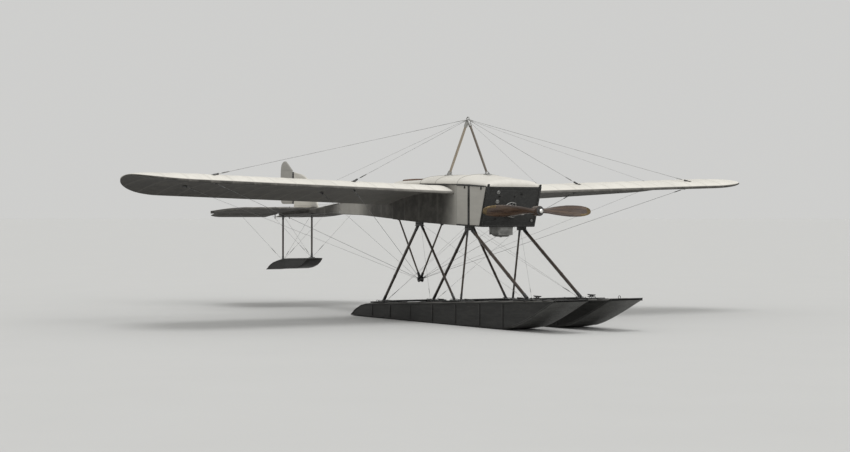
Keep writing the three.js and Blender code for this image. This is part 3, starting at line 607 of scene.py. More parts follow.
def makeNoseSides():
    bm = bmesh.new()
    wall = fuselage["wall"]
    for side in sides.values():
        rings = []
        for k in range(9):
            share = k / 8
            ring = []
            for j in range(7):
                z01 = j / 6
                lowZ, highZ = edgeAt(low, 0.3) + 0.002, edgeAt(high, 0.3)
                z = lowZ + (highZ - lowZ) * z01
                x = fuselage["firewall"] + (rakeX(z) - fuselage["firewall"]) * share
                z = edgeAt(low, x) + (edgeAt(high, x) - edgeAt(low, x)) * z01
                sink = 0.004 * math.sin(math.pi * z01) * abs(math.sin(math.pi * share * 2))
                ring.append(Vector((x, side * (0.53 - sink), z)))
            rings.append(ring)
        skinThrough(bm, rings, closed=False, caps=False)
    rings = []
    for k in range(9):
        share = k / 8
        x = fuselage["firewall"] + (rakeX(edgeAt(low, 0.53)) - fuselage["firewall"]) * share
        rings.append([Vector((x, y, edgeAt(low, x))) for y in (-0.53, -0.4, -0.2, 0, 0.2, 0.4, 0.53)])
    skinThrough(bm, rings, closed=False, caps=False)
    bmesh.ops.remove_doubles(bm, verts=bm.verts, dist=0.004)
    bmesh.ops.recalc_face_normals(bm, faces=bm.faces)
    bmesh.ops.solidify(bm, geom=bm.faces, thickness=wall)
    layer = clothLayer(bm)
    for vert in bm.verts:
        # Painted shade on the belly
        under = 1.0 if vert.co.z < edgeAt(low, vert.co.x) + 0.02 and abs(vert.co.y) < 0.52 else 0.0
        vert[layer] = (vert.co.x, 0.5, under)
    return finishPiece(bm, "nose_sides", "airframe", sideLinen, ["nose_tray"])


# The straps, corner irons, lower edge rails and strut sockets that the nose's sides carry
def makeNoseIrons():
    bm = bmesh.new()
    for side in sides.values():
        y = side * 0.534
        softBox(bm, (0, y, (edgeAt(low, 0) + edgeAt(high, 0)) / 2), (0.052, 0.010, 0.672), 0.003)
        for k in range(7):
            bolt(bm, (0, side * 0.539, 0.04 + k * 0.1), (0, side, 0), 0.006)
        foot = Vector((rakeX(0.0), side * 0.533, 0.0))
        head = Vector((rakeX(0.64), side * 0.533, 0.64))
        rodBetween(bm, foot - Vector((0.008, 0, 0)), head - Vector((0.008, 0, 0)), 0.013, sides=8)
        for start, end in ((-0.35, -0.02), (0.02, 0.32)):
            rodBetween(bm, (start, y, edgeAt(low, start) + 0.012), (end, y, edgeAt(low, end) + 0.012), 0.011, sides=8)
            rodBetween(bm, (start, y, edgeAt(high, start) - 0.010), (end + 0.12 * (end > 0), y, edgeAt(high, end) - 0.010), 0.009, sides=8)
        softBox(bm, (0, side * 0.515, -0.026), (0.21, 0.052, 0.068), 0.006)
        for dx in (-0.08, -0.03, 0.03, 0.08):
            bolt(bm, (dx, side * 0.541, -0.02), (0, side, 0), 0.008)
    return finishPiece(bm, "nose_irons", "airframe", blackTrim)


def crownRing(x, x01, crown, arcs=24, sag=0.0, lift=0.0, stringers=6):
    halfWidth, base = edgeAt(half, x), edgeAt(high, x)
    rise = crown(x) - base
    ring = []
    for i in range(arcs + 1):
        turn = i / arcs * math.pi
        sink = sag * abs(math.sin(turn * stringers))
        scale = 1 - sink / max(0.2, halfWidth)
        ring.append(Vector((x, halfWidth * math.cos(turn) * scale, base + rise * math.sin(turn) ** 0.8 * scale + lift)))
    return ring


# The cowl's top ends in a rounded lip over the front plate
cowl = {"lip": 0.11, "lipRise": 0.12, "rings": 13, "lipRings": 7}


def makeNoseTop():
    bm = bmesh.new()
    back, front = fuselage["firewall"], fuselage["rakeTop"]
    stops = [(back + (front - cowl["lip"] - back) * k / cowl["rings"], 1.0) for k in range(cowl["rings"] + 1)]
    for k in range(1, cowl["lipRings"] + 1):
        turn = math.pi / 2 * k / cowl["lipRings"]
        stops.append((front - cowl["lip"] * (1 - math.sin(turn)), cowl["lipRise"] + (1 - cowl["lipRise"]) * math.cos(turn)))
    rings = []
    for x, scale in stops:
        ring = crownRing(x, 0, noseCrown, arcs=28)
        base = edgeAt(high, x)
        for point in ring:
            point.z = base + (point.z - base) * scale
            point.x = back + (min(rakeX(point.z), 0.56) - back) * (x - back) / (front - back)
        rings.append(ring)
    skinThrough(bm, rings)
    bevelled = [e for e in bm.edges if len(e.link_faces) == 2 and e.calc_face_angle(0) > 1.1]
    bmesh.ops.bevel(bm, geom=bevelled, offset=0.006, segments=3, profile=0.5, affect="EDGES", material=-1)
    layer = clothLayer(bm)
    for vert in bm.verts:
        vert[layer] = (vert.co.x, 0.5, 0.0)
    return finishPiece(bm, "nose_cowl", "airframe", deckPly, ["nose_top"], sharp=40)


def makeFrontDeck():
    bm = bmesh.new()
    xs = [fuselage["firewall"] - 0.001 + (fuselage["cockpitFront"] - fuselage["firewall"]) * k / 12 for k in range(13)]
    skinThrough(bm, [crownRing(x, 0, deckCrown, arcs=28) for x in xs])
    bevelled = [e for e in bm.edges if len(e.link_faces) == 2 and e.calc_face_angle(0) > 0.9]
    bmesh.ops.bevel(bm, geom=bevelled, offset=0.006, segments=2, profile=0.5, affect="EDGES", material=-1)
    layer = clothLayer(bm)
    for vert in bm.verts:
        vert[layer] = (vert.co.x, 0.5, 0.0)
    return finishPiece(bm, "front_decking", "airframe", deckPly, ["front_deck"], sharp=40)


# Tapes over the seams of the decking, rails along its lower edge and the catches that hold the cowl
def makeDeckTrim():
    bm = bmesh.new()
    for x, crown in ((fuselage["firewall"], noseCrown), (-1.02, deckCrown), (fuselage["cockpitFront"], deckCrown),
                     (fuselage["bulkhead"] - 0.012, rearCrown)):
        tubeAlong(bm, [point + Vector((0, 0, 0.001)) for point in crownRing(x, 0, crown, arcs=36)], 0.005, sides=6)
    finishPiece(bm, "deck_tapes", "airframe", sideLinen)
    bm = bmesh.new()
    for side in sides.values():
        path = [Vector((x, side * (edgeAt(half, x) + 0.003), edgeAt(high, x) + 0.002)) for x in (0.49, 0.2, 0, -0.35, -0.9, -1.5)]
        tubeAlong(bm, path, 0.008, sides=8)
        for x in (0.36, -0.12):
            softBox(bm, (x, side * 0.536, edgeAt(high, x) - 0.030), (0.03, 0.008, 0.06), 0.003)
            rodBetween(bm, (x, side * 0.538, edgeAt(high, x) - 0.05), (x, side * 0.548, edgeAt(high, x) - 0.05), 0.008)
    return finishPiece(bm, "deck_rails", "airframe", darkSheet)


def makeCentreTub():
    bm = bmesh.new()
    frames = [-0.35, -0.95, -1.54, -2.0, -2.4]
    xs = sorted({round(-0.3505 - 2.049 * k / 24, 4) for k in range(25)}, reverse=True)
    rings = []
    for x in xs:
        lowZ, highZ, sink = edgeAt(low, x), edgeAt(high, x), sagBetween(x, frames, 0.005)
        ring = []
        for side in (-1, 1):
            wall = [Vector((x, side * (0.53 - sink * math.sin(math.pi * z01)), lowZ + (highZ - lowZ) * z01))
                    for z01 in (k / 6 for k in range(7))]
            floor = [Vector((x, side * 0.53 * s, lowZ)) for s in (0.8, 0.4)]
            ring += wall[::-1] + floor if side < 0 else [Vector((x, 0, lowZ))] + floor[::-1] + wall
        rings.append(ring)
    rows = skinThrough(bm, rings, closed=False, caps=False)
    for row in (rows[0], rows[-1]):
        bm.faces.new(row)
    bmesh.ops.recalc_face_normals(bm, faces=bm.faces)
    bmesh.ops.solidify(bm, geom=bm.faces, thickness=fuselage["wall"])
    layer = clothLayer(bm)
    for vert in bm.verts:
        onFloor = vert.co.z < edgeAt(low, vert.co.x) + 0.004 and abs(vert.co.y) < 0.5
        inside = abs(vert.co.y) < 0.522 and vert.co.z > edgeAt(low, vert.co.x) + 0.008
        # Painted shade: the inner walls take a little, the belly all of it, and the outer sides the painted shadow of
        # the wing
        shade = 0.35 if inside else 1.0 if onFloor else 0.95 * paintedWingShadow(vert.co.x, vert.co.z)
        vert[layer] = (vert.co.z, frameCount(vert.co.x, frames), shade)
    return finishPiece(bm, "centre_sides", "airframe", sideLinen, ["fuselage_centre"])


def makeRearFuselage():
    bm = bmesh.new()
    layer = clothLayer(bm)
    frames = [-2.4, -2.85, -3.3, -3.7, -4.2, -4.7, -5.3, -6.0, -6.7, -7.5]
    rings, shades = [], []
    x = frames[0]
    xs = []
    for a, b in zip(frames, frames[1:]):
        xs += [a + (b - a) * k / 5 for k in range(5)]
    xs.append(frames[-1])
    for x in xs:
        sink = sagBetween(x, frames, 0.006)
        lowZ, highZ, halfWidth = edgeAt(low, x), edgeAt(high, x), edgeAt(half, x)
        crown = max(rearCrown(x), highZ + 0.003) if x > -6.0 else highZ + 0.003
        ring = [Vector((x, halfWidth * s, lowZ + sink * 0.5 * (1 - abs(s)))) for s in (-0.9, -0.45, 0, 0.45, 0.9)]
        # Painted shade on the sides, lifted by a lighter patch of painted sheen between x -3.25 and -4.95; the sides'
        # top edge takes half the painted shade and the belly all of it
        sideShadeAndSheen = 0.97 - 0.42 * blendTo(x, -3.25, -3.8) * blendTo(x, -4.95, -4.5)
        shade = [1.0] * 5
        for z01 in (k / 6 for k in range(6)):
            ring.append(Vector((x, halfWidth - sink * math.sin(math.pi * z01), lowZ + 0.012 + (highZ - lowZ - 0.012) * z01)))
            shade.append(sideShadeAndSheen if z01 < 0.95 else 0.5)
        for i in range(19):
            turn = (i + 0.0) / 18 * math.pi
            scale = 1 - 0.006 * abs(math.sin(turn * 6)) / max(0.2, halfWidth)
            ring.append(Vector((x, halfWidth * math.cos(turn) * scale, highZ + (crown - highZ) * math.sin(turn) ** 0.8)))
            # The crown is pale on top and takes painted shade towards its sides; where it is low, towards the tail, the
            # top takes most of the painted shade
            shade.append(clamp(1.0 - math.sin(turn) * 3.5) if crown - highZ > 0.02 else blendTo(x, -6.0, -4.7, 0.7, 0.3))
        for z01 in (k / 6 for k in range(5, -1, -1)):
            ring.append(Vector((x, -halfWidth + sink * math.sin(math.pi * z01), lowZ + 0.012 + (highZ - lowZ - 0.012) * z01)))
            shade.append(sideShadeAndSheen if z01 < 0.95 else 0.5)
        rings.append(ring)
        shades.append(shade)
    rows = skinThrough(bm, rings)
    for row, shade in zip(rows, shades):
        for vert, dark in zip(row, shade):
            vert[layer] = (vert.co.y + vert.co.z, frameCount(vert.co.x, frames), dark)
    return finishPiece(bm, "rear_fuselage", "airframe", sideLinenRear, ["fuselage_rear"])


# Front plate. Its own frame: across, up the slope, and out along the plate's normal
plate = {
    "lift": 0.0124, "rim": 0.034, "thick": 0.010, "boreRadius": 0.113, "ringRadius": 0.147,
    "caps": [(-0.299, 0.549, 0.030), (-0.293, 0.400, 0.034), (0.445, 0.097, 0.022), (-0.365, 0.241, 0.020)],
    "holes": [(-0.261, 0.483, 0.016), (0.163, 0.521, 0.020), (0.032, 0.480, 0.014), (-0.280, 0.339, 0.015), (-0.277, 0.118, 0.022)],
    "spout": (0.026, 0.345, 0.040),
}
plateTilt = math.atan(rake)
plateAcross = Vector((0, 1, 0))
plateUp = Vector((math.sin(plateTilt), 0, math.cos(plateTilt)))
plateOut = Vector((math.cos(plateTilt), 0, -math.sin(plateTilt)))


def onPlate(y, z, out=0.0):
    return Vector((rakeX(z) + plate["lift"] / math.cos(plateTilt) * 0.97, y, z)) + plateOut * out


def makeFrontPlate():
    bm = bmesh.new()
    turn = Matrix((plateAcross, plateUp, plateOut)).transposed().to_4x4()
    lowZ, highZ = edgeAt(low, 0.53) + 0.004, 0.634
    middle = onPlate(0, (lowZ + highZ) / 2, -plate["thick"] / 2)
    length = (highZ - lowZ) / math.cos(plateTilt)
    softBox(bm, middle, (1.054, length, plate["thick"]), 0.004, turn)
    rim = plate["rim"]
    for side in (-1, 1):
        softBox(bm, onPlate(side * (0.527 - rim / 2), (lowZ + highZ) / 2, 0.002), (rim, length - 0.004, 0.006), 0.002, turn)
    for z in (lowZ + rim * 0.5, highZ - rim * 0.5):
        softBox(bm, onPlate(0, z, 0.002), (1.054 - rim * 2, rim, 0.006), 0.002, turn)
    for side in (-1, 1):
        softBox(bm, onPlate(side * 0.508, 0.655, -0.004), (0.042, 0.05, 0.012), 0.004, turn)
    for z in (0.072, 0.565):
        rodBetween(bm, onPlate(-0.47, z, 0.001), onPlate(0.47, z, 0.001), 0.006, sides=8)
    turned(bm, [(0.0, plate["ringRadius"] - 0.03), (0.012, plate["ringRadius"] - 0.026),
                (0.012, plate["ringRadius"] - 0.004), (0.0, plate["ringRadius"])], onPlate(0, 0.25, 0.0), plateOut, 48)
    return finishPiece(bm, "front_plate_sheet", "airframe", darkSheet, ["front_plate"])


def makeFrontPlateFittings():
    bm = bmesh.new()
    rim = plate["rim"] / 2
    for k in range(18):
        y = -0.50 + k * 1.0 / 17
        rivet(bm, onPlate(y, 0.010, 0.005), plateOut, 0.0055)
        rivet(bm, onPlate(y, 0.617, 0.005), plateOut, 0.0055)
    for k in range(1, 11):
        z = 0.010 + k * 0.607 / 11
        for side in (-1, 1):
            rivet(bm, onPlate(side * (0.527 - rim), z, 0.005), plateOut, 0.0055)
    for k in range(10):
        a = (k + 0.5) / 10 * 2 * math.pi
        spot = onPlate(0, 0.25) + (plateAcross * math.cos(a) + plateUp * math.sin(a)) * (plate["ringRadius"] - 0.014)
        bolt(bm, spot + plateOut * 0.011, plateOut, 0.0075)
    return finishPiece(bm, "front_plate_rivets", "airframe", darkSteel)


def makeFrontPlateCaps():
    bm = bmesh.new()
    for y, z, radius in plate["caps"]:
        turned(bm, [(-0.002, 0), (-0.002, radius), (0.010, radius), (0.014, radius * 0.88), (0.014, radius * 0.66),
                    (0.006, radius * 0.56), (0.006, radius * 0.28), (0.018, radius * 0.2), (0.018, 0)], onPlate(y, z), plateOut, 28)
    y, z, radius = plate["spout"]
    turned(bm, [(0.0, radius - 0.008), (0.03, radius - 0.006), (0.034, radius - 0.002), (0.034, radius + 0.003),
                (0.028, radius + 0.004), (0.0, radius)], onPlate(y, z), plateOut, 32)
    arc = [onPlate(0, 0.25, 0.012) + (plateAcross * math.cos(a) + plateUp * math.sin(a)) * plate["ringRadius"]
           for a in (math.radians(60 + k * 6) for k in range(17))]
    tubeAlong(bm, arc, 0.008, sides=8)
    return finishPiece(bm, "front_plate_caps", "airframe", ringIron)


def makeFrontPlateHoles():
    bm = bmesh.new()
    for y, z, radius in plate["holes"]:
        turned(bm, [(0.0, 0), (0.0, radius * 0.75), (0.006, radius * 0.8), (0.007, radius), (0.0, radius * 1.15)],
               onPlate(y, z, 0.0), plateOut, 20)
    y, z, radius = plate["spout"]
    rodBetween(bm, onPlate(y, z, -0.002), onPlate(y, z, 0.004), radius - 0.007, sides=28)
    turned(bm, [(0.0005, 0.0), (0.0005, plate["ringRadius"] - 0.03), (0.003, plate["ringRadius"] - 0.032), (0.003, 0.0)],
           onPlate(0, 0.25), plateOut, 40)
    return finishPiece(bm, "front_plate_holes", "airframe", blackTrim)


# The crankcase's long nose with its flanges and cast webs
housing = {"z": 0.25, "end": 0.76, "bore": 0.029, "flange": 0.066}


def makeShaftHousing():
    bm = bmesh.new()
    profile = [(0.620, 0.0), (0.620, 0.029), (0.757, 0.029), (0.760, 0.032), (0.760, 0.063), (0.757, 0.066),
               (0.741, 0.066), (0.738, 0.063), (0.736, 0.060), (0.722, 0.0585), (0.700, 0.058), (0.62, 0.068),
               (0.540, 0.078), (0.500, 0.085), (0.474, 0.092), (0.466, 0.098), (0.460, 0.108), (0.455, 0.112),
               (0.262, 0.112), (0.262, 0.0)]
    turned(bm, profile, (0, 0, housing["z"]), (1, 0, 0), 56)
    for k in range(6):
        a = (k + 0.5) / 6 * 2 * math.pi
        out = Vector((0, math.cos(a), math.sin(a)))
        centre = Vector((0, 0, housing["z"]))
        rings = []
        for x, foot, tip in ((0.458, 0.085, 0.107), (0.53, 0.07, 0.092), (0.64, 0.056, 0.072), (0.728, 0.05, 0.0605)):
            across = out.cross(Vector((1, 0, 0))) * 0.004
            base = centre + Vector((x, 0, 0))
            rings.append([base + out * foot - across, base + out * foot + across, base + out * tip + across, base + out * tip - across])
        skinThrough(bm, rings)
    return finishPiece(bm, "crankcase_nose", "airframe", castMetal, ["shaft_housing"], sharp=35)


def makeHousingBolts():
    bm = bmesh.new()
    for k in range(8):
        a = k / 8 * 2 * math.pi
        bolt(bm, (0.7595, math.cos(a) * 0.050, housing["z"] + math.sin(a) * 0.050), (1, 0, 0), 0.0055)
    turned(bm, [(0.7600, 0.034), (0.7640, 0.036), (0.7640, 0.040), (0.7600, 0.042)], (0, 0, housing["z"]), (1, 0, 0), 36)
    return finishPiece(bm, "crankcase_nose_bolts", "airframe", brightMetal)


def makeSump():
    bm = bmesh.new()
    rings = []
    for share, depth in ((0, 0.0004), (0.02, 0.03), (0.08, 0.064), (0.3, 0.108), (0.6, 0.140), (0.85, 0.158), (1, 0.165)):
        shrink = blendTo(share, 0.05, 1, 1, 0.52) ** 0.9
        ring = []
        for k in range(28):
            a = k / 28 * 2 * math.pi
            c, s = math.cos(a), math.sin(a)
            squareness = 0.45
            x = 0.1525 + 0.160 * shrink * math.copysign(abs(c) ** squareness, c)
            y = 0.163 * shrink * math.copysign(abs(s) ** squareness, s)
            ring.append(Vector((x, y, edgeAt(low, x) - depth)))
        rings.append(ring)
    skinThrough(bm, rings)
    for k in range(4):
        x = 0.02 + k * 0.088
        softBox(bm, (x, 0, edgeAt(low, x) - 0.07), (0.008, 0.28, 0.13), 0.003)
    turned(bm, [(-0.010, 0), (-0.010, 0.018), (0.0, 0.022), (0.010, 0.022), (0.010, 0)], (0.15, 0, edgeAt(low, 0.15) - 0.166), (0, 0, -1), 16)
    for k in range(8):
        for side in (-1, 1):
            x = -0.002 + k * 0.044
            rivet(bm, (x, side * 0.158, edgeAt(low, x) - 0.012), (0, side, -0.2), 0.006)
    return finishPiece(bm, "oil_sump", "airframe", sumpMetal, ["sump"], sharp=50)


def makeCoamings():
    for name, side in sides.items():
        bm = bmesh.new()
        rings = []
        inner = fuselage["cockpitHalf"]
        for k in range(15):
            x = fuselage["cockpitFront"] - 0.001 + (fuselage["bulkhead"] - fuselage["cockpitFront"]) * k / 14
            top = edgeAt(high, x) + 0.0005
            section = [(inner, 0.0), (0.53, 0.0), (0.528, 0.022), (0.515, 0.040), (0.48, 0.054), (0.43, 0.066), (0.37, 0.074), (inner, 0.075)]
            rings.append([Vector((x, side * y, top + z)) for y, z in section])
        skinThrough(bm, rings)
        layer = clothLayer(bm)
        for vert in bm.verts:
            vert[layer] = (vert.co.x, 0.5, 0.0)
        finishPiece(bm, f"coaming_board_{name}", "airframe", deckPly, [f"cockpit_coaming_{name}"], sharp=50)


makeNoseSides()
makeNoseIrons()
makeNoseTop()
makeFrontDeck()
makeDeckTrim()
makeCentreTub()
makeRearFuselage()
makeFrontPlate()
makeFrontPlateFittings()
makeFrontPlateCaps()
makeFrontPlateHoles()
makeShaftHousing()
makeHousingBolts()
makeSump()
makeCoamings()
print("fuselage made")


# Wings
wing = {
    "span": 12.0, "chord": 2.15, "leadX": -0.435, "rootZ": 0.542, "rootY": 0.5304,
    "dihedral": math.radians(1.8), "incidence": math.radians(4.3), "camber": 0.062, "camberAt": 0.36,
    "thickness": 0.05, "tipX": -0.972, "tipFront": 0.9, "tipRear": 1.15, "sparAt": 0.16, "portWarp": 0.15,
    "rearSpar": 0.66, "bays": 15, "sagTop": 0.007, "sagUnder": 0.005, "scallop": 0.014, "rootShadeEase": 0.26,
}


def wingEdges(y):
    halfSpan = wing["span"] / 2
    frontTurn = clamp((y - (halfSpan - wing["tipFront"])) / wing["tipFront"])
    rearTurn = clamp((y - (halfSpan - wing["tipRear"])) / wing["tipRear"])
    trailX = wing["leadX"] - wing["chord"]
    lead = wing["tipX"] + (wing["leadX"] - wing["tipX"]) * math.sqrt(1 - frontTurn ** 2)
    trail = wing["tipX"] + (trailX - wing["tipX"]) * math.sqrt(1 - rearTurn ** 2)
    return lead, trail


def camberAt(t):
    side = wing["camberAt"] if t < wing["camberAt"] else 1 - wing["camberAt"]
    return wing["camber"] * (1 - (abs(t - wing["camberAt"]) / side) ** 2)


def halfThickness(t):
    return wing["thickness"] / 2 * min(1, t / 0.14) ** 0.45 * (1 - 0.8 * max(0, t - 0.3)) + 0.0015


# Depth that the cloth sinks between ribs; the plywood nose ahead of the spar stays true
def ribSag(y, t):
    bay = (y - wing["rootY"]) / (wing["span"] / 2 - wing["rootY"]) * wing["bays"]
    if bay > wing["bays"] - 1:
        return 0.0
    return math.sin(math.pi * bay) ** 2 * blendTo(t, 0.06, 0.3) * blendTo(t, 1.0, 0.86)


def wingPoint(side, y, t, surface):
    lead, trail = wingEdges(y)
    localChord = lead - trail
    x = lead - t * localChord
    back = wing["leadX"] - x
    outward = y - wing["rootY"]
    behindSpar = max(0, back / wing["chord"] - wing["sparAt"]) / (1 - wing["sparAt"])
    warp = wing["portWarp"] * outward / (wing["span"] / 2 - wing["rootY"]) * behindSpar if side > 0 else 0
    z = (wing["rootZ"] + outward * math.tan(wing["dihedral"]) - back * math.tan(wing["incidence"])
         + camberAt(back / wing["chord"]) * wing["chord"] + surface * halfThickness(t) * localChord + warp)
    sag = -wing["sagTop"] if surface > 0 else wing["sagUnder"]
    bay = (y - wing["rootY"]) / (wing["span"] / 2 - wing["rootY"]) * wing["bays"]
    scallop = wing["scallop"] * math.sin(math.pi * bay) ** 2 * blendTo(t, 0.85, 1.0) if bay < wing["bays"] - 2 else 0
    return Vector((x + scallop, side * y, z + sag * ribSag(y, t)))


def makeWing(name, side):
    bm = bmesh.new()
    layer = clothLayer(bm)
    steps = [0, 0.003, 0.010, 0.022, 0.04, 0.065, 0.10, 0.15, 0.20, 0.26, 0.33, 0.40, 0.48, 0.56, 0.64, 0.72, 0.80, 0.87, 0.93, 0.97, 1.0]
    halfSpan, bays = wing["span"] / 2, wing["bays"]
    bay = (halfSpan - wing["rootY"]) / bays
    stops = [wing["rootY"] + bay * k / 4 for k in range(4 * (bays - 3) + 1)]
    reach = halfSpan - stops[-1] - 0.003
    stops += [stops[-1] + reach * math.sin(math.pi / 2 * k / 22) for k in range(1, 23)]
    rings = []
    for y in stops:
        upperSide = [wingPoint(side, y, t, 1) for t in steps]
        lowerSide = [wingPoint(side, y, t, -1) for t in reversed(steps)]
        rings.append(upperSide + lowerSide)
    rows = skinThrough(bm, rings)
    count = len(steps)
    for y, row in zip(stops, rows):
        lead, trail = wingEdges(y)
        for i, vert in enumerate(row):
            t = steps[i] if i < count else steps[2 * count - 1 - i]
            # Painted shade: the whole underside is dark, and the dark wraps round the leading edge onto the top;
            # towards the root the painted shade eases, a painted lightening where the real shadow is deeper
            under = (blendTo(t, 0.022, 0.010) if i < count else 1.0) * (1 - wing["rootShadeEase"] * (1 - y / halfSpan) ** 2.2)
            ribs = (y - wing["rootY"]) / bay
            vert[layer] = (t * (lead - trail), ribs, under)
    return finishPiece(bm, f"wing_skin_{name}", "airframe", linen, [f"wing_{name}"], sharp=60)


# Forked plates on the spars, one above and one below, for the stays and the warping wires
stayStations = {"inner": 2.25, "outer": 4.73}
mast = {"apex": Vector((-0.835, 0, 1.783)), "frontFoot": -0.245, "rearFoot": -1.425}
post = {"apex": Vector((-2.333, 0, -0.942)), "frontFoot": -1.62, "rearFoot": -3.082}


def wingEnds(side):
    for y in stayStations.values():
        for t in (wing["sparAt"], wing["rearSpar"]):
            for surface, apex in ((1, mast["apex"]), (-1, post["apex"])):
                yield y, t, surface, apex, wingPoint(side, y, t, surface)


def makeWingFittings(name, side):
    bm = bmesh.new()
    for y, t, surface, apex, seat in wingEnds(side):
        along = (apex - seat).normalized()
        length = 0.10 if t == wing["sparAt"] else 0.06
        softBox(bm, seat + Vector((0, 0, surface * 0.002)), (0.13, 0.05, 0.006), 0.002)
        for dx in (-0.045, 0.045):
            bolt(bm, seat + Vector((dx, 0, surface * 0.004)), (0, 0, surface), 0.006)
        turn = along.to_track_quat("Z", "X").to_matrix().to_4x4()
        softBox(bm, seat + along * length * 0.45, (0.030, 0.014, length), 0.003, turn)
        rodBetween(bm, seat + along * length * 0.8 + Vector((0.018, 0, 0)), seat + along * length * 0.8 - Vector((0.018, 0, 0)), 0.006)
    return finishPiece(bm, f"wing_fittings_{name}", "airframe", darkSteel)


# One taut wire with a turnbuckle near its lower or outer end
def bracedWire(bm, a, b, radius=0.003, buckle=0.22, buckleRadius=0.008):
    a, b = Vector(a), Vector(b)
    along = (b - a).normalized()
    rodBetween(bm, a, b, radius, sides=8)
    if buckle:
        centre = b - along * buckle
        rodBetween(bm, centre - along * 0.05, centre + along * 0.05, buckleRadius, sides=10)
        rodBetween(bm, centre + along * 0.05, centre + along * 0.075, buckleRadius, buckleRadius * 0.45, sides=10)
        rodBetween(bm, centre - along * 0.075, centre - along * 0.05, buckleRadius * 0.45, buckleRadius, sides=10)


def makeStays():
    for name, side in sides.items():
        for wireName, surface, apex in (("landing_stay", 1, mast["apex"]), ("flying_stay", -1, post["apex"])):
            for label, y in stayStations.items():
                bm = bmesh.new()
                seat = wingPoint(side, y, wing["sparAt"], surface)
                along = (seat - apex).normalized()
                bracedWire(bm, apex + along * 0.09, seat - along * 0.055, 0.0028, 0.16, 0.008)
                finishPiece(bm, f"{wireName}_wire_{label}_{name}", "airframe", wireSteel, [f"{wireName}_{label}_{name}"])
        bm = bmesh.new()
        for y, t, surface, apex, seat in wingEnds(side):
            if t == wing["rearSpar"]:
                along = (seat - apex).normalized()
                start = apex + Vector((-0.036, side * 0.006, 0)) if surface > 0 else apex + Vector((-0.03, side * 0.020, 0))
                bracedWire(bm, start, seat - along * 0.03, 0.0017, 0.14, 0.005)
        finishPiece(bm, f"warping_wires_{name}", "airframe", wireSteel)


for name, side in sides.items():
    makeWing(name, side)
    makeWingFittings(name, side)
makeStays()
print("wings made")


# Pylons
pylonLook = {
    "upper": {"frame": mast, "wide": {"front": 0.046, "rear": 0.052}, "up": 1},
    "lower": {"frame": post, "wide": {"front": 0.036, "rear": 0.036}, "up": -1},
}


def streamlinedLeg(bm, foot, head, wide, thin, fore, rings=14, swell=0.12):
    foot, head = Vector(foot), Vector(head)
    along = (head - foot).normalized()
    across = (fore - along * fore.dot(along)).normalized()
    side = along.cross(across)
    made, length = [], (head - foot).length
    grain = bm.verts.layers.float_vector.get("grain")
    for k in range(rings + 1):
        share = k / rings
        scale = 1 + swell * math.sin(math.pi * share)
        ring = []
        for i in range(20):
            a = i / 20 * 2 * math.pi
            nose = math.cos(a)
            width = math.sin(a) * (1 if nose > 0 else (1 + nose * 0.25))
            ring.append(foot + (head - foot) * share + across * nose * wide / 2 * scale + side * width * thin / 2 * scale)
        made.append(ring)
    rows = skinThrough(bm, made)
    if grain:
        for k, row in enumerate(rows):
            for vert, spot in zip(row, made[0]):
                around = spot - foot
                vert[grain] = (around.dot(across) + foot.x, around.dot(side) + foot.y, k / rings * length)
    return rows


def pylonFeet(which):
    if which == "upper":
        return {"front": Vector((mast["frontFoot"], 0, noseCrown(mast["frontFoot"]))),
                "rear": Vector((mast["rearFoot"], 0, deckCrown(mast["rearFoot"])))}
    return {"front": Vector((post["frontFoot"], 0, edgeAt(low, post["frontFoot"]))),
            "rear": Vector((post["rearFoot"], 0, edgeAt(low, post["rearFoot"])))}


def makePylons():
    for which, look in pylonLook.items():
        apex, up = look["frame"]["apex"], look["up"]
        irons = bmesh.new()
        for end, foot in pylonFeet(which).items():
            bm = grainMesh()
            along = (apex - foot).normalized()
            streamlinedLeg(bm, foot + along * 0.01, apex - along * 0.06, look["wide"][end], look["wide"][end] * 0.68, Vector((1, 0, 0)))
            wood = paleWood if (which, end) == ("upper", "rear") else pylonWood
            finishPiece(bm, f"{which}_pylon_spar_{end}", "airframe", wood, [f"{which}_pylon_leg_{end}"])
            tall = 0.075 if (which, end) == ("upper", "rear") else 0.04
            softBox(irons, foot + Vector((0, 0, up * 0.004)), (0.15, 0.09, 0.012), 0.003)
            turned(irons, [(0.0, 0.042), (0.02, 0.040), (tall, 0.033), (tall + 0.012, 0.026), (tall + 0.012, 0.0), (0.0, 0.0)],
                   foot + Vector((0, 0, up * 0.002)), along, 20)
            for dx in (-0.058, 0.058):
                for dy in (-0.03, 0.03):
                    bolt(irons, foot + Vector((dx, dy, up * 0.010)), (0, 0, up), 0.006)
            wide = look["wide"][end] / 2 + 0.004
            turned(irons, [(-0.14, wide - 0.004), (-0.14, wide), (-0.05, wide + 0.002), (-0.03, wide - 0.002)], apex, along, 20)
        # The upper apex is an open ring, the lower one a block of two cheeks with a pulley between
        circle = [Vector((math.cos(a), 0, math.sin(a))) for a in (k / 32 * 2 * math.pi for k in range(32))]
        if up > 0:
            tubeAlong(irons, [apex + point * 0.040 for point in circle], 0.010, sides=12, closed=True)
        else:
            for side in (-1, 1):
                turned(irons, [(0.028, 0.0), (0.028, 0.048), (0.030, 0.050), (0.037, 0.050), (0.039, 0.046), (0.039, 0.0)],
                       apex, (0, side, 0), 28)
                bolt(irons, apex + Vector((0, side * 0.038, 0)), (0, side, 0), 0.012)
            turned(irons, [(-0.024, 0.010), (-0.024, 0.046), (-0.008, 0.036), (0.008, 0.036), (0.024, 0.046), (0.024, 0.010)],
                   apex, (0, 1, 0), 32)
        for name, side in sides.items():
            for y in stayStations.values():
                seat = wingPoint(side, y, wing["sparAt"], up)
                toWing = (seat - apex).normalized()
                shackle = apex + Vector((math.copysign(0.012, y - 3), 0, 0)) + toWing * 0.006
                rodBetween(irons, shackle, apex + toWing * 0.115, 0.008, 0.0055, sides=12)
        finishPiece(irons, f"{which}_pylon_irons", "airframe", ringIron if up > 0 else darkSteel, [f"{which}_pylon_cap"])


makePylons()
print("pylons made")


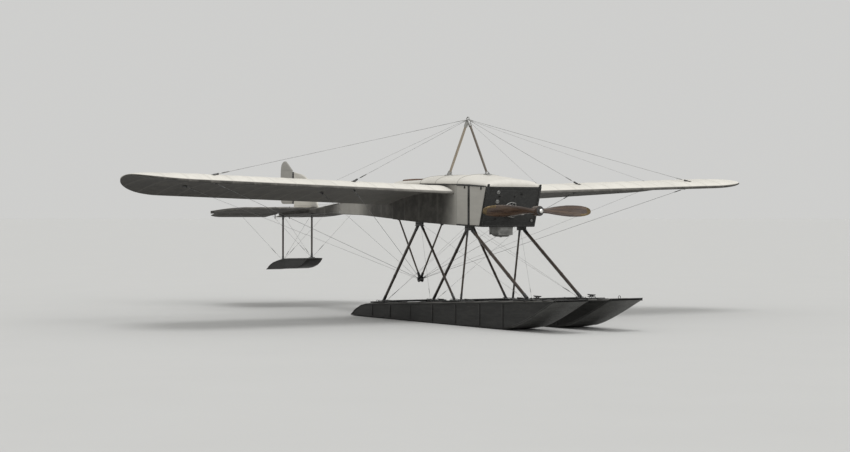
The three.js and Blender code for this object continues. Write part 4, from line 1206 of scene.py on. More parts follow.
# Propeller: distance from the axis, chord, thickness, pitch in degrees
propeller = {
    "hubX": 1.18, "radius": 1.05, "hub": 0.08, "depth": 0.13, "sheathFrom": 0.80,
    "sections": [
        (0.0, 0.105, 0.098, 90), (0.05, 0.098, 0.078, 64), (0.10, 0.102, 0.068, 57), (0.17, 0.120, 0.054, 52), (0.25, 0.145, 0.045, 45),
        (0.35, 0.170, 0.038, 38), (0.48, 0.192, 0.031, 32), (0.60, 0.205, 0.026, 27), (0.72, 0.200, 0.022, 23.5),
        (0.82, 0.190, 0.018, 21), (0.90, 0.170, 0.015, 19), (0.97, 0.140, 0.012, 18), (1.01, 0.108, 0.010, 17.5),
        (1.035, 0.080, 0.008, 17), (1.048, 0.040, 0.006, 17),
    ],
}


def makePropeller():
    bm = bmesh.new()
    metal = []
    for flip in (1, -1):
        rings = []
        for r, chord, thick, pitch in propeller["sections"][1:]:
            turn = math.radians(pitch)
            ring = []
            for i in range(20):
                a = i / 20 * 2 * math.pi
                along = math.cos(a) * chord / 2
                out = math.sin(a) * thick / 2 * (1.15 if math.sin(a) > 0 else 0.8)
                out *= 1 - 0.25 * clamp(-math.cos(a)) if r > 0.2 else 1
                ring.append(Vector((out * math.cos(turn) + along * math.sin(turn), flip * r,
                                    flip * (out * math.sin(turn) - along * math.cos(turn)))))
            rings.append(ring)
        rows = skinThrough(bm, rings)
        for a, b in zip(rows, rows[1:]):
            middle = abs((a[0].co.y + b[0].co.y) / 2)
            if middle < propeller["sheathFrom"]:
                continue
            for i in range(20):
                j = (i + 1) % 20
                nose = math.cos((i + 0.5) / 20 * 2 * math.pi)
                if nose > 0.55 or middle > 0.985:
                    face = next(f for f in a[i].link_faces if a[j] in f.verts and b[i] in f.verts)
                    metal.append(face)
    paintFaces(metal, 1)
    turned(bm, [(-0.065, 0.0), (-0.065, 0.074), (-0.060, 0.080), (0.060, 0.080), (0.065, 0.074), (0.065, 0.0)],
           (0, 0, 0), (1, 0, 0), 48)
    bmesh.ops.translate(bm, vec=(propeller["hubX"], 0, housing["z"]), verts=bm.verts)
    return finishPiece(bm, "propeller_blades", "propeller", [laminate, brass], ["propeller"], sharp=38)


def makePropellerHub():
    bm = bmesh.new()
    face = propeller["hubX"] + propeller["depth"] / 2
    centre = (0, 0, housing["z"])
    turned(bm, [(face, 0.0), (face, 0.070), (face + 0.002, 0.072), (face + 0.010, 0.072), (face + 0.012, 0.070),
                (face + 0.012, 0.040), (face + 0.016, 0.034), (face + 0.016, 0.0)], centre, (1, 0, 0), 48)
    for k in range(8):
        a = (k + 0.5) / 8 * 2 * math.pi
        bolt(bm, (face + 0.012, math.cos(a) * 0.054, housing["z"] + math.sin(a) * 0.054), (1, 0, 0), 0.0075)
    plateFaces = list(bm.faces)
    turned(bm, [(face + 0.016, 0.0), (face + 0.016, 0.033), (face + 0.020, 0.034), (face + 0.040, 0.034), (face + 0.0445, 0.028),
                (face + 0.0464, 0.018), (face + 0.0464, 0.0)], centre, (1, 0, 0), 24)
    bright = [f for f in bm.faces if f not in set(plateFaces)]
    paintFaces(bright, 1)
    return finishPiece(bm, "propeller_hub_plate", "propeller", [darkSteel, brightMetal], ["propeller_hub"])


def makePropellerShaft():
    bm = bmesh.new()
    back = propeller["hubX"] - propeller["depth"] / 2
    turned(bm, [(0.63, 0.0), (0.63, 0.028), (back - 0.034, 0.028), (back - 0.028, 0.034), (back - 0.020, 0.070),
                (back - 0.018, 0.072), (back - 0.002, 0.072), (back, 0.070), (back, 0.0)], (0, 0, housing["z"]), (1, 0, 0), 40)
    for k in range(8):
        a = (k + 0.5) / 8 * 2 * math.pi
        bolt(bm, (back - 0.020, math.cos(a) * 0.054, housing["z"] + math.sin(a) * 0.054), (-1, 0, 0), 0.0075)
    return finishPiece(bm, "propeller_shaft_steel", "propeller", darkSteel, ["propeller_shaft"])


makePropeller()
makePropellerHub()
makePropellerShaft()
print("propeller made")


# Floats: x, drop of the deck below its straight line, bottom above the floor
floats = {
    "y": 0.52, "half": 0.30, "deckZ": -1.222, "slope": 0.048, "floor": -1.6, "crown": 0.012,
    "profile": [
        (2.8, 0, 0.49), (2.65, 0, 0.424), (2.5, 0, 0.356), (2.35, 0, 0.291), (2.2, 0, 0.228), (2.06, 0, 0.173), (1.92, 0, 0.122),
        (1.79, 0, 0.082), (1.65, 0, 0.048), (1.52, 0, 0.025), (1.4, 0, 0.009), (1.2, 0, 0), (0.6, 0, 0), (0, 0, 0), (-0.7, 0, 0),
        (-1.4, 0, 0), (-2.1, 0, 0), (-2.86, 0, 0), (-3.0, 0.02, 0), (-3.18, 0.08, 0.003), (-3.33, 0.17, 0.012),
    ],
    "feet": {"rear": (-2.725, 0.10, 0.10), "middle": (-0.344, 0.16, 0.175), "front": (1.662, 0.12, 0.32)},
    "blockHeight": 0.034,
}


def deckAt(x):
    return floats["deckZ"] + floats["slope"] * x


def hullRing(x, top, bottom, halfWidth, crown, ease=0.012):
    right = [(halfWidth - ease, bottom), (halfWidth, bottom + ease), (halfWidth, (top - crown + bottom) / 2),
             (halfWidth, top - crown - ease), (halfWidth - ease, top - crown)]
    deck = [(halfWidth * s, top - crown * s * s) for s in (0.75, 0.5, 0.25, 0)]
    points = right + deck
    full = points + [(-y, z) for y, z in reversed(points[:-1])]
    return [Vector((x, y, z)) for y, z in full] + [Vector((x, y * halfWidth, bottom)) for y in (-0.5, 0, 0.5)]


def makeFloat(name, side):
    bm = bmesh.new()
    rings = [hullRing(x, deckAt(x) - drop, rise + floats["floor"], floats["half"], floats["crown"]) for x, drop, rise in floats["profile"]]
    skinThrough(bm, rings)
    bmesh.ops.recalc_face_normals(bm, faces=bm.faces)
    for face in bm.faces:
        face.normal_update()
        face.material_index = 1 if face.normal.z > 0.8 else 0
    bmesh.ops.translate(bm, vec=(0, side * floats["y"], 0), verts=bm.verts)
    return finishPiece(bm, f"float_hull_{name}", "airframe", [floatPaint, floatDeck], [f"float_{name}"], sharp=45)


# Battens along the chines and the deck's edge, with a strip round the bow and stern
def makeFloatTrim(name, side):
    bm = bmesh.new()
    y0 = side * floats["y"]
    for edgeSide in (-1, 1):
        deckLine, chineLine, middleLine = [], [], []
        for x, drop, rise in floats["profile"]:
            y = y0 + edgeSide * (floats["half"] + 0.002)
            deckLine.append(Vector((x, y, deckAt(x) - drop - 0.028)))
            chineLine.append(Vector((x, y, rise + floats["floor"] + 0.020)))
            middleLine.append(Vector((x, y, (deckAt(x) - drop + rise + floats["floor"]) / 2)))
        tubeAlong(bm, deckLine, 0.009, sides=6)
        tubeAlong(bm, chineLine, 0.008, sides=6)
        for x in (-2.6, -2.0, -1.35, -0.65, 0.05, 0.75, 1.4):
            softBox(bm, (x, y0 + edgeSide * (floats["half"] + 0.003), (deckAt(x) + floats["floor"]) / 2),
                    (0.04, 0.010, deckAt(x) - floats["floor"] - 0.07), 0.003)
        for x in (-2.6, -2.0, -1.35, -0.65, 0.05, 0.75, 1.4):
            for k in range(3):
                z = floats["floor"] + 0.06 + k * 0.1
                rivet(bm, (x, y0 + edgeSide * (floats["half"] + 0.0078), z), (0, edgeSide, 0), 0.006)
    for x in (2.785, 2.45, 1.95):
        softBox(bm, (x, y0, deckAt(x) - 0.001), (0.045, floats["half"] * 2 - 0.02, 0.012), 0.003)
    for x in (-2.4, -1.75, -1.1, 0.35, 1.0):
        softBox(bm, (x, y0, deckAt(x) + 0.001), (0.030, floats["half"] * 2 - 0.03, 0.008), 0.002)
    return finishPiece(bm, f"float_battens_{name}", "airframe", floatPaint)


# The rails, foot blocks and cleats that the struts stand between
def makeFloatFeet(name, side):
    bm = bmesh.new()
    y0 = side * floats["y"]
    for label, (x, back, ahead) in floats["feet"].items():
        top = deckAt(x) + floats["blockHeight"]
        length = back + ahead
        tilt = Matrix.Rotation(-math.atan(floats["slope"]), 4, "Y")
        softBox(bm, (x + (ahead - back) / 2, y0, (top + deckAt(x) - 0.02) / 2 - 0.004), (length, 0.11, top - deckAt(x) + 0.012), 0.006)
        softBox(bm, (x + (ahead - back) / 2, y0 - side * 0.15, deckAt(x) + 0.012), (length + 0.12, 0.04, 0.026), 0.005, tilt)
        softBox(bm, (x + (ahead - back) / 2, y0 + side * 0.15, deckAt(x) + 0.012), (length + 0.12, 0.04, 0.026), 0.005, tilt)
    return finishPiece(bm, f"float_foot_blocks_{name}", "airframe", blackTrim)


def makeFloatMetal(name, side):
    bm = bmesh.new()
    y0 = side * floats["y"]
    for label, (x, back, ahead) in floats["feet"].items():
        top = deckAt(x) + floats["blockHeight"]
        for dx in (-back + 0.02, -back * 0.4, ahead * 0.45, ahead - 0.02):
            for dy in (-0.04, 0.04):
                bolt(bm, (x + dx, y0 + dy, top), (0, 0, 1), 0.007)
        cleatX = x + ahead - 0.07 if label == "front" else x + ahead + 0.14
        base = deckAt(cleatX) + (floats["blockHeight"] if label == "front" else 0.0)
        softBox(bm, (cleatX, y0, base + 0.004), (0.14, 0.06, 0.010), 0.003)
        for dx in (-0.028, 0.028):
            rodBetween(bm, (cleatX + dx, y0, base), (cleatX + dx * 0.85, y0, base + 0.026), 0.015, 0.011)
        tubeAlong(bm, [(cleatX - 0.10, y0, base + 0.036), (cleatX - 0.05, y0, base + 0.030), (cleatX, y0, base + 0.029),
                       (cleatX + 0.05, y0, base + 0.030), (cleatX + 0.10, y0, base + 0.036)], [0.007, 0.012, 0.014, 0.012, 0.007], sides=10)
    # ring bolts at the bow and the stern
    for x in (2.62, -2.93):
        z = deckAt(x)
        loop = [Vector((x, y0 + math.cos(a) * 0.022, z + 0.024 + math.sin(a) * 0.022)) for a in (k / 16 * 2 * math.pi for k in range(16))]
        tubeAlong(bm, loop, 0.005, sides=6, closed=True)
        rodBetween(bm, (x, y0, z - 0.003), (x, y0, z + 0.005), 0.022, sides=16)
    return finishPiece(bm, f"float_ironwork_{name}", "airframe", darkSteel)


# Round hand-hole covers on the deck, each with its ring of screws, and the sheet on the stem
def makeFloatCovers(name, side):
    bm = bmesh.new()
    y0 = side * floats["y"]
    for x in (-2.05, -1.42, 0.08, 0.72, 1.28, 2.2):
        seat = Vector((x, y0, deckAt(x) - 0.001))
        turned(bm, [(0, 0), (0, 0.078), (0.005, 0.076), (0.007, 0.070), (0.007, 0.05), (0.010, 0.045), (0.010, 0)], seat, (0, 0, 1), 28)
        softBox(bm, seat + Vector((0, 0, 0.014)), (0.07, 0.012, 0.010), 0.003)
        for k in range(6):
            a = k / 6 * 2 * math.pi
            rivet(bm, seat + Vector((math.cos(a) * 0.062, math.sin(a) * 0.062, 0.0068)), (0, 0, 1), 0.004)
    return finishPiece(bm, f"float_hand_holes_{name}", "airframe", zinc)


def makeFloatStems(name, side):
    bm = bmesh.new()
    y0 = side * floats["y"]
    rings = []
    for x, drop, rise in floats["profile"][:9]:
        z = rise + floats["floor"]
        edgeUp = 0.034
        half0 = floats["half"] + 0.0025
        rings.append([Vector((x, y0 - half0, z + edgeUp)), Vector((x, y0 - half0, z + 0.004)), Vector((x, y0 - half0 + 0.012, z - 0.003)),
                      Vector((x, y0, z - 0.003)), Vector((x, y0 + half0 - 0.012, z - 0.003)), Vector((x, y0 + half0, z + 0.004)),
                      Vector((x, y0 + half0, z + edgeUp))])
    skinThrough(bm, rings, closed=False, caps=False)
    bmesh.ops.recalc_face_normals(bm, faces=bm.faces)
    bmesh.ops.solidify(bm, geom=bm.faces, thickness=-0.002)
    return finishPiece(bm, f"float_stem_sheet_{name}", "airframe", stemMetal)


for name, side in sides.items():
    makeFloat(name, side)
    makeFloatTrim(name, side)
    makeFloatFeet(name, side)
    makeFloatMetal(name, side)
    makeFloatCovers(name, side)
    makeFloatStems(name, side)
print("floats made")


# Struts: name, socket x, shift in it, foot, shift on it, wide, thin
struts = {
    "y": 0.515, "ferrule": 0.11,
    "sockets": {"rear": (-1.537, 0.19, 0.055), "front": (0.0, 0.21, 0.060)},
    "rows": [
        ("rear", "rear", -0.052, "rear", 0.0, 0.062, 0.040), ("rear_middle", "rear", 0.066, "middle", -0.105, 0.050, 0.034),
        ("front_middle", "front", -0.055, "middle", 0.095, 0.042, 0.030), ("front", "front", 0.072, "front", -0.030, 0.062, 0.040),
    ],
}


def strutEnds(row, side):
    label, socket, topShift, foot, footShift, wide, thin = row
    socketX, socketLength, depth = struts["sockets"][socket]
    footX = floats["feet"][foot][0]
    head = Vector((socketX + topShift, side * struts["y"], edgeAt(low, socketX) - depth))
    base = Vector((footX + footShift, side * (floats["y"] - 0.005), deckAt(footX) + floats["blockHeight"]))
    return base, head


def makeStruts():
    for name, side in sides.items():
        irons = bmesh.new()
        socketX, socketLength, depth = struts["sockets"]["rear"]
        softBox(irons, (socketX, side * struts["y"], edgeAt(low, socketX) - depth / 2 + 0.004), (socketLength, 0.052, depth + 0.008), 0.006)
        for dx in (-0.07, -0.025, 0.025, 0.07):
            bolt(irons, (socketX + dx, side * (struts["y"] + 0.026), edgeAt(low, socketX) - 0.02), (0, side, 0), 0.008)
        for row in struts["rows"]:
            label, wide, thin = row[0], row[5], row[6]
            base, head = strutEnds(row, side)
            along = (head - base).normalized()
            bm = grainMesh()
            streamlinedLeg(bm, base + along * 0.004, head - along * 0.004, wide * 0.96, thin * 0.96, Vector((1, 0, 0)), rings=18, swell=0.06)
            for share in (0.33, 0.66):
                middle = base.lerp(head, share)
                streamlinedLeg(bm, middle - along * 0.022, middle + along * 0.022, wide * 1.09, thin * 1.12, Vector((1, 0, 0)), rings=4, swell=0.02)
            finishPiece(bm, f"float_leg_{label}_{name}", "airframe", strutWood, [f"float_strut_{label}_{name}"])
            for end, inward in ((base, along), (head, -along)):
                streamlinedLeg(irons, end + inward * 0.001, end + inward * struts["ferrule"], wide * 1.06, thin * 1.14, Vector((1, 0, 0)), rings=3, swell=0.0)
                for distance in (0.035, 0.080):
                    bolt(irons, end + inward * distance + Vector((0, side * thin * 0.55, 0)), (0, side, 0), 0.006)
                softBox(irons, end + inward * 0.004, (wide + 0.05, 0.05, 0.010), 0.002)
        finishPiece(irons, f"float_leg_irons_{name}", "airframe", darkSteel)


def makeCrossTubes():
    for label, (x, back, ahead) in floats["feet"].items():
        bm = bmesh.new()
        reach = floats["y"] - 0.0554
        z = deckAt(x) + 0.020
        rodBetween(bm, (x, -reach, z), (x, reach, z), 0.017, sides=24)
        for y in (-reach, reach):
            inward = -math.copysign(1, y)
            turned(bm, [(0.0, 0.017), (0.0, 0.026), (0.012, 0.027), (0.016, 0.021), (0.05, 0.020), (0.052, 0.017)], (x, y, z), (0, inward, 0), 24)
        finishPiece(bm, f"spreader_tube_{label}", "airframe", darkSteel, [f"cross_tube_{label}"])


# Crossed wires between the struts, from the sockets to the deck fittings
def makeFloatWires():
    bm = bmesh.new()
    front, rear = struts["sockets"]["front"][0], struts["sockets"]["rear"][0]
    for side in sides.values():
        y = side * (struts["y"] - 0.02)
        for topX, foot in ((front, "front"), (rear, "rear")):
            footX = floats["feet"][foot][0]
            start = Vector((topX, side * 0.49, edgeAt(low, topX) - 0.03))
            other = Vector((footX, -side * (floats["y"] - 0.07), deckAt(footX) + 0.03))
            bracedWire(bm, start, other, 0.0014, 0.25, 0.0045)
        start = Vector((front - 0.07, y, edgeAt(low, front) - 0.045))
        bracedWire(bm, start, (floats["feet"]["rear"][0] + 0.08, side * floats["y"], deckAt(floats["feet"]["rear"][0]) + 0.03), 0.0014, 0.3, 0.0045)
        start = Vector((rear + 0.07, y, edgeAt(low, rear) - 0.045))
        bracedWire(bm, start, (floats["feet"]["front"][0] - 0.1, side * floats["y"], deckAt(floats["feet"]["front"][0]) + 0.03), 0.0014, 0.3, 0.0045)
    return finishPiece(bm, "float_bracing_wires", "airframe", wireSteel)


makeStruts()
makeCrossTubes()
makeFloatWires()
print("struts made")


# Tail
tail = {
    "leadX": -6.0, "hingeX": -7.5, "hingeZ": 0.212, "trailX": -8.04, "halfSpan": 1.68, "rudderX": -7.05,
    "rudderTop": 1.235, "rudderFoot": 0.385, "rudderRearX": -7.58, "droop": math.radians(9), "notch": 0.11,
    "hingeGap": 0.031, "noseRadius": 0.017, "ribs": 0.28, "paintedEdgeShade": 1.36, "hornBack": 0.022, "eyes": [-1.13, -0.48, 0.48, 1.13], "rudderEyes": [0.45, 0.72, 0.96],
}


def tailEdges(y):
    frontTurn = clamp((y - (tail["halfSpan"] - 0.42)) / 0.42)
    rearTurn = clamp((y - (tail["halfSpan"] - 0.62)) / 0.62)
    middleX = tail["leadX"] - 0.9
    return (middleX + (tail["leadX"] - middleX) * math.sqrt(1 - frontTurn ** 2),
            middleX + (tail["trailX"] - middleX) * math.sqrt(1 - rearTurn ** 2))


tailSlope = (edgeAt(high, tail["leadX"]) - edgeAt(high, tail["hingeX"])) / (tail["leadX"] - tail["hingeX"])


def tailBase(x):
    return edgeAt(high, tail["leadX"]) + (x - tail["leadX"]) * tailSlope + 0.0004


def tailThickness(t):
    return 0.066 * math.sqrt(clamp(max(0, t) / 0.25)) * (1 - 0.55 * max(0, t - 0.3)) + 0.008


def makeTailplane():
    bm = bmesh.new()
    layer = clothLayer(bm)
    steps = [0, 0.008, 0.025, 0.06, 0.12, 0.19, 0.20, 0.30, 0.42, 0.55, 0.68, 0.82, 0.93, 1.0]
    span = tail["halfSpan"] - 0.004
    inner = [k * tail["ribs"] / 4 for k in range(19)]
    outer = [inner[-1] + (span - inner[-1]) * math.sin(math.pi / 2 * k / 14) for k in range(1, 15)]
    positive = inner + outer
    stops = [-y for y in reversed(positive[1:])] + positive
    whole = tail["leadX"] - tail["trailX"]
    rings, marks = [], []
    for y in stops:
        lead, trail = tailEdges(abs(y))
        rear = max(tail["hingeX"] + tail["hingeGap"], trail)
        share = (lead - trail) / whole
        ring, mark = [], []
        sagHere = 0.004 * math.sin(math.pi * abs(y) / tail["ribs"]) ** 2 if abs(y) < 1.3 else 0
        for surface in (1, -1):
            for s in (steps if surface > 0 else reversed(steps)):
                x = min(tail["leadX"], lead) + (rear - lead) * s
                sag = sagHere * blendTo(s, 0.05, 0.25) * blendTo(s, 1.0, 0.8)
                thick = tailThickness((lead - x) / whole) * max(0.35, math.sqrt(share))
                round0 = math.sqrt(clamp(s / 0.025))
                if surface > 0:
                    z = tailBase(x) + thick * (0.35 + 0.65 * round0) - sag
                else:
                    z = tailBase(x) + thick * 0.30 * (1 - round0) + sag
                ring.append(Vector((x, y, z)))
                # Painted shade: the top's front fifth and its outer tips are dark, and so is the whole underside
                paintedEdgeShade = max(blendTo(s, 0.20, 0.19), blendTo(abs(y), tail["paintedEdgeShade"] - 0.04, tail["paintedEdgeShade"]))
                mark.append((s * (lead - rear), y / tail["ribs"], paintedEdgeShade if surface > 0 else 1.0))
        rings.append(ring)
        marks.append(mark)
    rows = skinThrough(bm, rings)
    for row, mark in zip(rows, marks):
        for vert, value in zip(row, mark):
            vert[layer] = value
    return finishPiece(bm, "tailplane_skin", "airframe", linen, ["tailplane"], sharp=60)


def makeHingeIrons():
    bm = bmesh.new()
    for y in tail["eyes"]:
        centre = Vector((tail["hingeX"], y, tail["hingeZ"]))
        turned(bm, [(-0.014, 0.0145), (-0.015, 0.016), (-0.015, 0.023), (-0.014, 0.024), (0.014, 0.024), (0.015, 0.023), (0.015, 0.016), (0.014, 0.0145), (-0.014, 0.0145)],
               centre, (0, 1, 0), 20)
        softBox(bm, centre + Vector((0.042, 0, 0)), (0.05, 0.020, 0.012), 0.002)
    for z in tail["rudderEyes"]:
        centre = Vector((tail["rudderX"], 0, z))
        turned(bm, [(-0.014, 0.0145), (-0.015, 0.016), (-0.015, 0.023), (-0.014, 0.024), (0.014, 0.024), (0.015, 0.023), (0.015, 0.016), (0.014, 0.0145), (-0.014, 0.0145)],
               centre, (0, 0, 1), 20)
        softBox(bm, centre + Vector((0.036, 0, 0)), (0.036, 0.018, 0.014), 0.002)
    return finishPiece(bm, "tail_hinge_eyes", "airframe", darkSteel)


# Half of the elevator's section, from the hinge to the trailing edge
def elevatorSpot(y, s, surface, trail):
    length = tail["hingeX"] - trail
    thick = 0.0165 if s < 0.05 else 0.022 * (1 - s) + 0.004
    spot = Vector((-s * length, 0, surface * thick))
    spot.rotate(Matrix.Rotation(-tail["droop"], 3, "Y"))
    return spot + Vector((tail["hingeX"], y, tail["hingeZ"]))


def makeElevator():
    bm = bmesh.new()
    steps = [0, 0.03, 0.08, 0.2, 0.35, 0.5, 0.65, 0.8, 0.9, 0.97, 1.0]
    layer = clothLayer(bm)
    pocket = 0.0215
    for side in (-1, 1):
        bays = []
        walls = [tail["notch"]] + [abs(y) + shift for y in tail["eyes"] if y > 0 for shift in (-pocket, pocket)] + [1.40]
        stops = [tail["notch"] + (1.40 - tail["notch"]) * k / 26 for k in range(27)]
        rings, marks = [], []
        for y in stops:
            trail = tailEdges(y)[1]
            sink = 0.003 * math.sin(math.pi * y / tail["ribs"]) ** 2
            nearEye = min(abs(y - eye) for eye in tail["eyes"] if eye > 0) < 0.034
            ring, mark = [], []
            for surface in (1, -1):
                for s in (steps if surface > 0 else reversed(steps)):
                    place = max(s, 0.075) if nearEye else s
                    spot = elevatorSpot(side * y, place, surface, trail)
                    spot.z -= surface * sink * blendTo(s, 0.03, 0.3) * blendTo(s, 1, 0.8)
                    ring.append(spot)
                    # Painted shade on the top near the tips and on the whole underside
                    paintedEdgeShade = blendTo(y, tail["paintedEdgeShade"] - 0.06, tail["paintedEdgeShade"] - 0.01)
                    mark.append((s * 0.54, y / tail["ribs"], paintedEdgeShade if surface > 0 else 1.0))
            rings.append(ring)
            marks.append(mark)
        rows = skinThrough(bm, rings)
        for row, mark in zip(rows, marks):
            for vert, value in zip(row, mark):
                vert[layer] = value
    return finishPiece(bm, "elevator_skin", "elevator", linen, ["elevator"], sharp=60)


def makeElevatorRod():
    bm = bmesh.new()
    rodBetween(bm, (tail["hingeX"], -1.35, tail["hingeZ"]), (tail["hingeX"], 1.35, tail["hingeZ"]), 0.013, sides=20)
    edges = sorted(tail["eyes"])
    stretches = [(-1.345, edges[0] - 0.022), (edges[0] + 0.022, edges[1] - 0.022), (edges[1] + 0.022, -0.115),
                 (0.115, edges[2] - 0.022), (edges[2] + 0.022, edges[3] - 0.022), (edges[3] + 0.022, 1.345)]
    for a, b in stretches:
        rodBetween(bm, (tail["hingeX"], a, tail["hingeZ"]), (tail["hingeX"], b, tail["hingeZ"]), 0.0165, sides=20)
    for side in (-1, 1):
        for up in (-1, 1):
            rings = []
            for share, wide in ((0, 0.042), (0.25, 0.030), (0.6, 0.024), (0.9, 0.019), (1.0, 0.012)):
                z = tail["hingeZ"] + up * 0.118 * share
                x = tail["hingeX"] - tail["hornBack"]
                y = side * 0.16
                rings.append([Vector((x - wide / 2, y - 0.004, z)), Vector((x - wide / 2, y + 0.004, z)),
                              Vector((x + wide / 2, y + 0.004, z)), Vector((x + wide / 2, y - 0.004, z))])
            skinThrough(bm, rings)
            pin = Vector((tail["hingeX"] - tail["hornBack"], side * 0.16, tail["hingeZ"] + up * 0.108))
            rodBetween(bm, pin - Vector((0, 0.009, 0)), pin + Vector((0, 0.009, 0)), 0.006, sides=10)
    return finishPiece(bm, "elevator_rod_and_horns", "elevator", darkSteel)


def bezierPoints(a, b, c, count):
    a, b, c = Vector(a), Vector(b), Vector(c)
    return [a * (1 - t) ** 2 + b * 2 * t * (1 - t) + c * t * t for t in (k / count for k in range(count + 1))]


# A cloth-covered upright surface: an outline in x and z, thickest in the middle
def uprightSkin(bm, outline, thick, ribSpacing, shade=0.0):
    layer = clothLayer(bm)
    centre = sum(outline, Vector((0, 0))) / len(outline)
    rows = {}
    for surface in (1, -1):
        rings = []
        for share, depth in ((1.0, 0.18), (0.985, 0.55), (0.955, 0.82), (0.88, 1.0), (0.7, 1.0), (0.45, 1.0), (0.2, 1.0), (0.04, 1.0)):
            rings.append([Vector((centre.x + (p.x - centre.x) * share, surface * thick / 2 * depth,
                                  centre.y + (p.y - centre.y) * share)) for p in outline])
        rows[surface] = skinThrough(bm, rings, caps=False)
        bm.faces.new(rows[surface][-1])
    count = len(outline)
    for i in range(count):
        j = (i + 1) % count
        bm.faces.new((rows[1][0][i], rows[1][0][j], rows[-1][0][j], rows[-1][0][i]))
    for vert in bm.verts:
        vert[layer] = (vert.co.x, vert.co.z / ribSpacing, shade)


def makeFin():
    bm = bmesh.new()
    footX, rearX = tail["leadX"] - 0.03, tail["rudderX"] + tail["hingeGap"]
    outline = bezierPoints((footX, tailBase(footX) + 0.03), (-6.28, 0.88), (-6.72, 0.96), 14)
    outline += [Vector((rearX, 1.008)), Vector((rearX, 0.80)), Vector((rearX, 0.60)), Vector((rearX, 0.40)), Vector((rearX, tailBase(rearX) + 0.062))]
    foot = [Vector((x, tailBase(x) + tailThickness((tail["leadX"] - x) / 2.04) - 0.003)) for x in (-6.85, -6.6, -6.35, -6.15)]
    outline = [Vector((p.x, p.y)) for p in outline + foot]
    uprightSkin(bm, outline, 0.044, 0.24)
    return finishPiece(bm, "fin_skin", "airframe", finLinen, ["fin"], sharp=60)


def rudderOutline():
    points = [Vector((tail["rudderX"], tail["rudderFoot"])), Vector((tail["rudderX"], 0.6)), Vector((tail["rudderX"], 0.82)), Vector((tail["rudderX"], 1.015))]
    points += bezierPoints((tail["rudderX"], 1.015), (-7.2, 1.13), (-7.35, 1.223), 8)[1:]
    points += bezierPoints((-7.35, 1.223), (-7.48, 1.247), (-7.545, 1.16), 6)[1:]
    points += bezierPoints((-7.545, 1.16), (-7.58, 1.08), (-7.58, 0.90), 6)[1:]
    points += [Vector((-7.58, 0.75)), Vector((-7.58, 0.62)), Vector((-7.58, 0.52))]
    points += bezierPoints((-7.58, 0.52), (-7.58, 0.385), (-7.47, 0.385), 8)[1:]
    points += [Vector((-7.3, 0.385)), Vector((-7.15, 0.385))]
    return points


def makeRudder():
    bm = bmesh.new()
    outline = [Vector((p.x, p.y)) for p in rudderOutline()]
    for point in outline:
        point.x = min(point.x, tail["rudderX"] - 0.034) if point.x > tail["rudderX"] - 0.034 else point.x
    uprightSkin(bm, outline, 0.030, 0.21)
    return finishPiece(bm, "rudder_skin", "rudder", rudderLinen, ["rudder"], sharp=60)


def makeRudderPost():
    bm = bmesh.new()
    rodBetween(bm, (tail["rudderX"], 0, tail["rudderFoot"]), (tail["rudderX"], 0, 1.01), 0.013, sides=20)
    eyes = tail["rudderEyes"]
    for a, b in ((tail["rudderFoot"] + 0.002, eyes[0] - 0.022), (eyes[0] + 0.022, eyes[1] - 0.022), (eyes[1] + 0.022, eyes[2] - 0.022), (eyes[2] + 0.022, 1.008)):
        rodBetween(bm, (tail["rudderX"], 0, a), (tail["rudderX"], 0, b), 0.0165, sides=20)
        softBox(bm, (tail["rudderX"] - 0.022, 0, (a + b) / 2), (0.030, 0.024, b - a - 0.004), 0.003)
    for side in (-1, 1):
        rings = []
        for share, wide in ((0, 0.040), (0.4, 0.032), (0.8, 0.022), (1.0, 0.014)):
            y = side * (0.01 + 0.138 * share)
            rings.append([Vector((tail["rudderX"] - 0.030 - wide / 2, y, 0.564)), Vector((tail["rudderX"] - 0.030 - wide / 2, y, 0.576)),
                          Vector((tail["rudderX"] - 0.030 + wide / 2, y, 0.576)), Vector((tail["rudderX"] - 0.030 + wide / 2, y, 0.564))])
        skinThrough(bm, rings)
        rodBetween(bm, (tail["rudderX"] - 0.030, side * 0.140, 0.558), (tail["rudderX"] - 0.030, side * 0.140, 0.582), 0.006, sides=10)
    return finishPiece(bm, "rudder_post_and_horns", "rudder", darkSteel)


tailFloat = {
    "half": 0.17, "crown": 0.008,
    "profile": [
        (-6.18, -0.652, -0.672), (-6.20, -0.6525, -0.700), (-6.26, -0.654, -0.740), (-6.37, -0.657, -0.798), (-6.53, -0.662, -0.842),
        (-6.72, -0.668, -0.866), (-6.95, -0.674, -0.876), (-7.17, -0.680, -0.885), (-7.33, -0.704, -0.891), (-7.46, -0.729, -0.895), (-7.58, -0.756, -0.900),
        (-7.70, -0.800, -0.905), (-7.79, -0.850, -0.911), (-7.88, -0.902, -0.918),
    ],
    "struts": {"front": (-6.3, -0.656), "rear": (-7.49, -0.735)},
}


def makeTailFloat():
    bm = bmesh.new()
    rings = []
    for x, top, bottom in tailFloat["profile"]:
        ease = min(0.010, (top - bottom) * 0.3)
        rings.append(hullRing(x, top, bottom, tailFloat["half"], min(tailFloat["crown"], (top - bottom) * 0.3), ease))
    skinThrough(bm, rings)
    bmesh.ops.recalc_face_normals(bm, faces=bm.faces)
    for face in bm.faces:
        face.normal_update()
        face.material_index = 1 if face.normal.z > 0.75 else 0
    return finishPiece(bm, "tail_float_hull", "airframe", [floatPaint, floatDeck], ["tail_float"], sharp=45)


def makeTailFloatTrim():
    bm = bmesh.new()
    for side in (-1, 1):
        y = side * (tailFloat["half"] + 0.002)
        tubeAlong(bm, [Vector((x, y, top - 0.020)) for x, top, bottom in tailFloat["profile"][2:-1]], 0.007, sides=6)
        tubeAlong(bm, [Vector((x, y, bottom + 0.014)) for x, top, bottom in tailFloat["profile"][2:-1]], 0.006, sides=6)
    for x in (-6.55, -7.0):
        softBox(bm, (x, 0, -0.652 - (-6.18 - x) * 0.028 - 0.006), (0.03, 0.32, 0.008), 0.002)
    return finishPiece(bm, "tail_float_battens", "airframe", floatPaint)


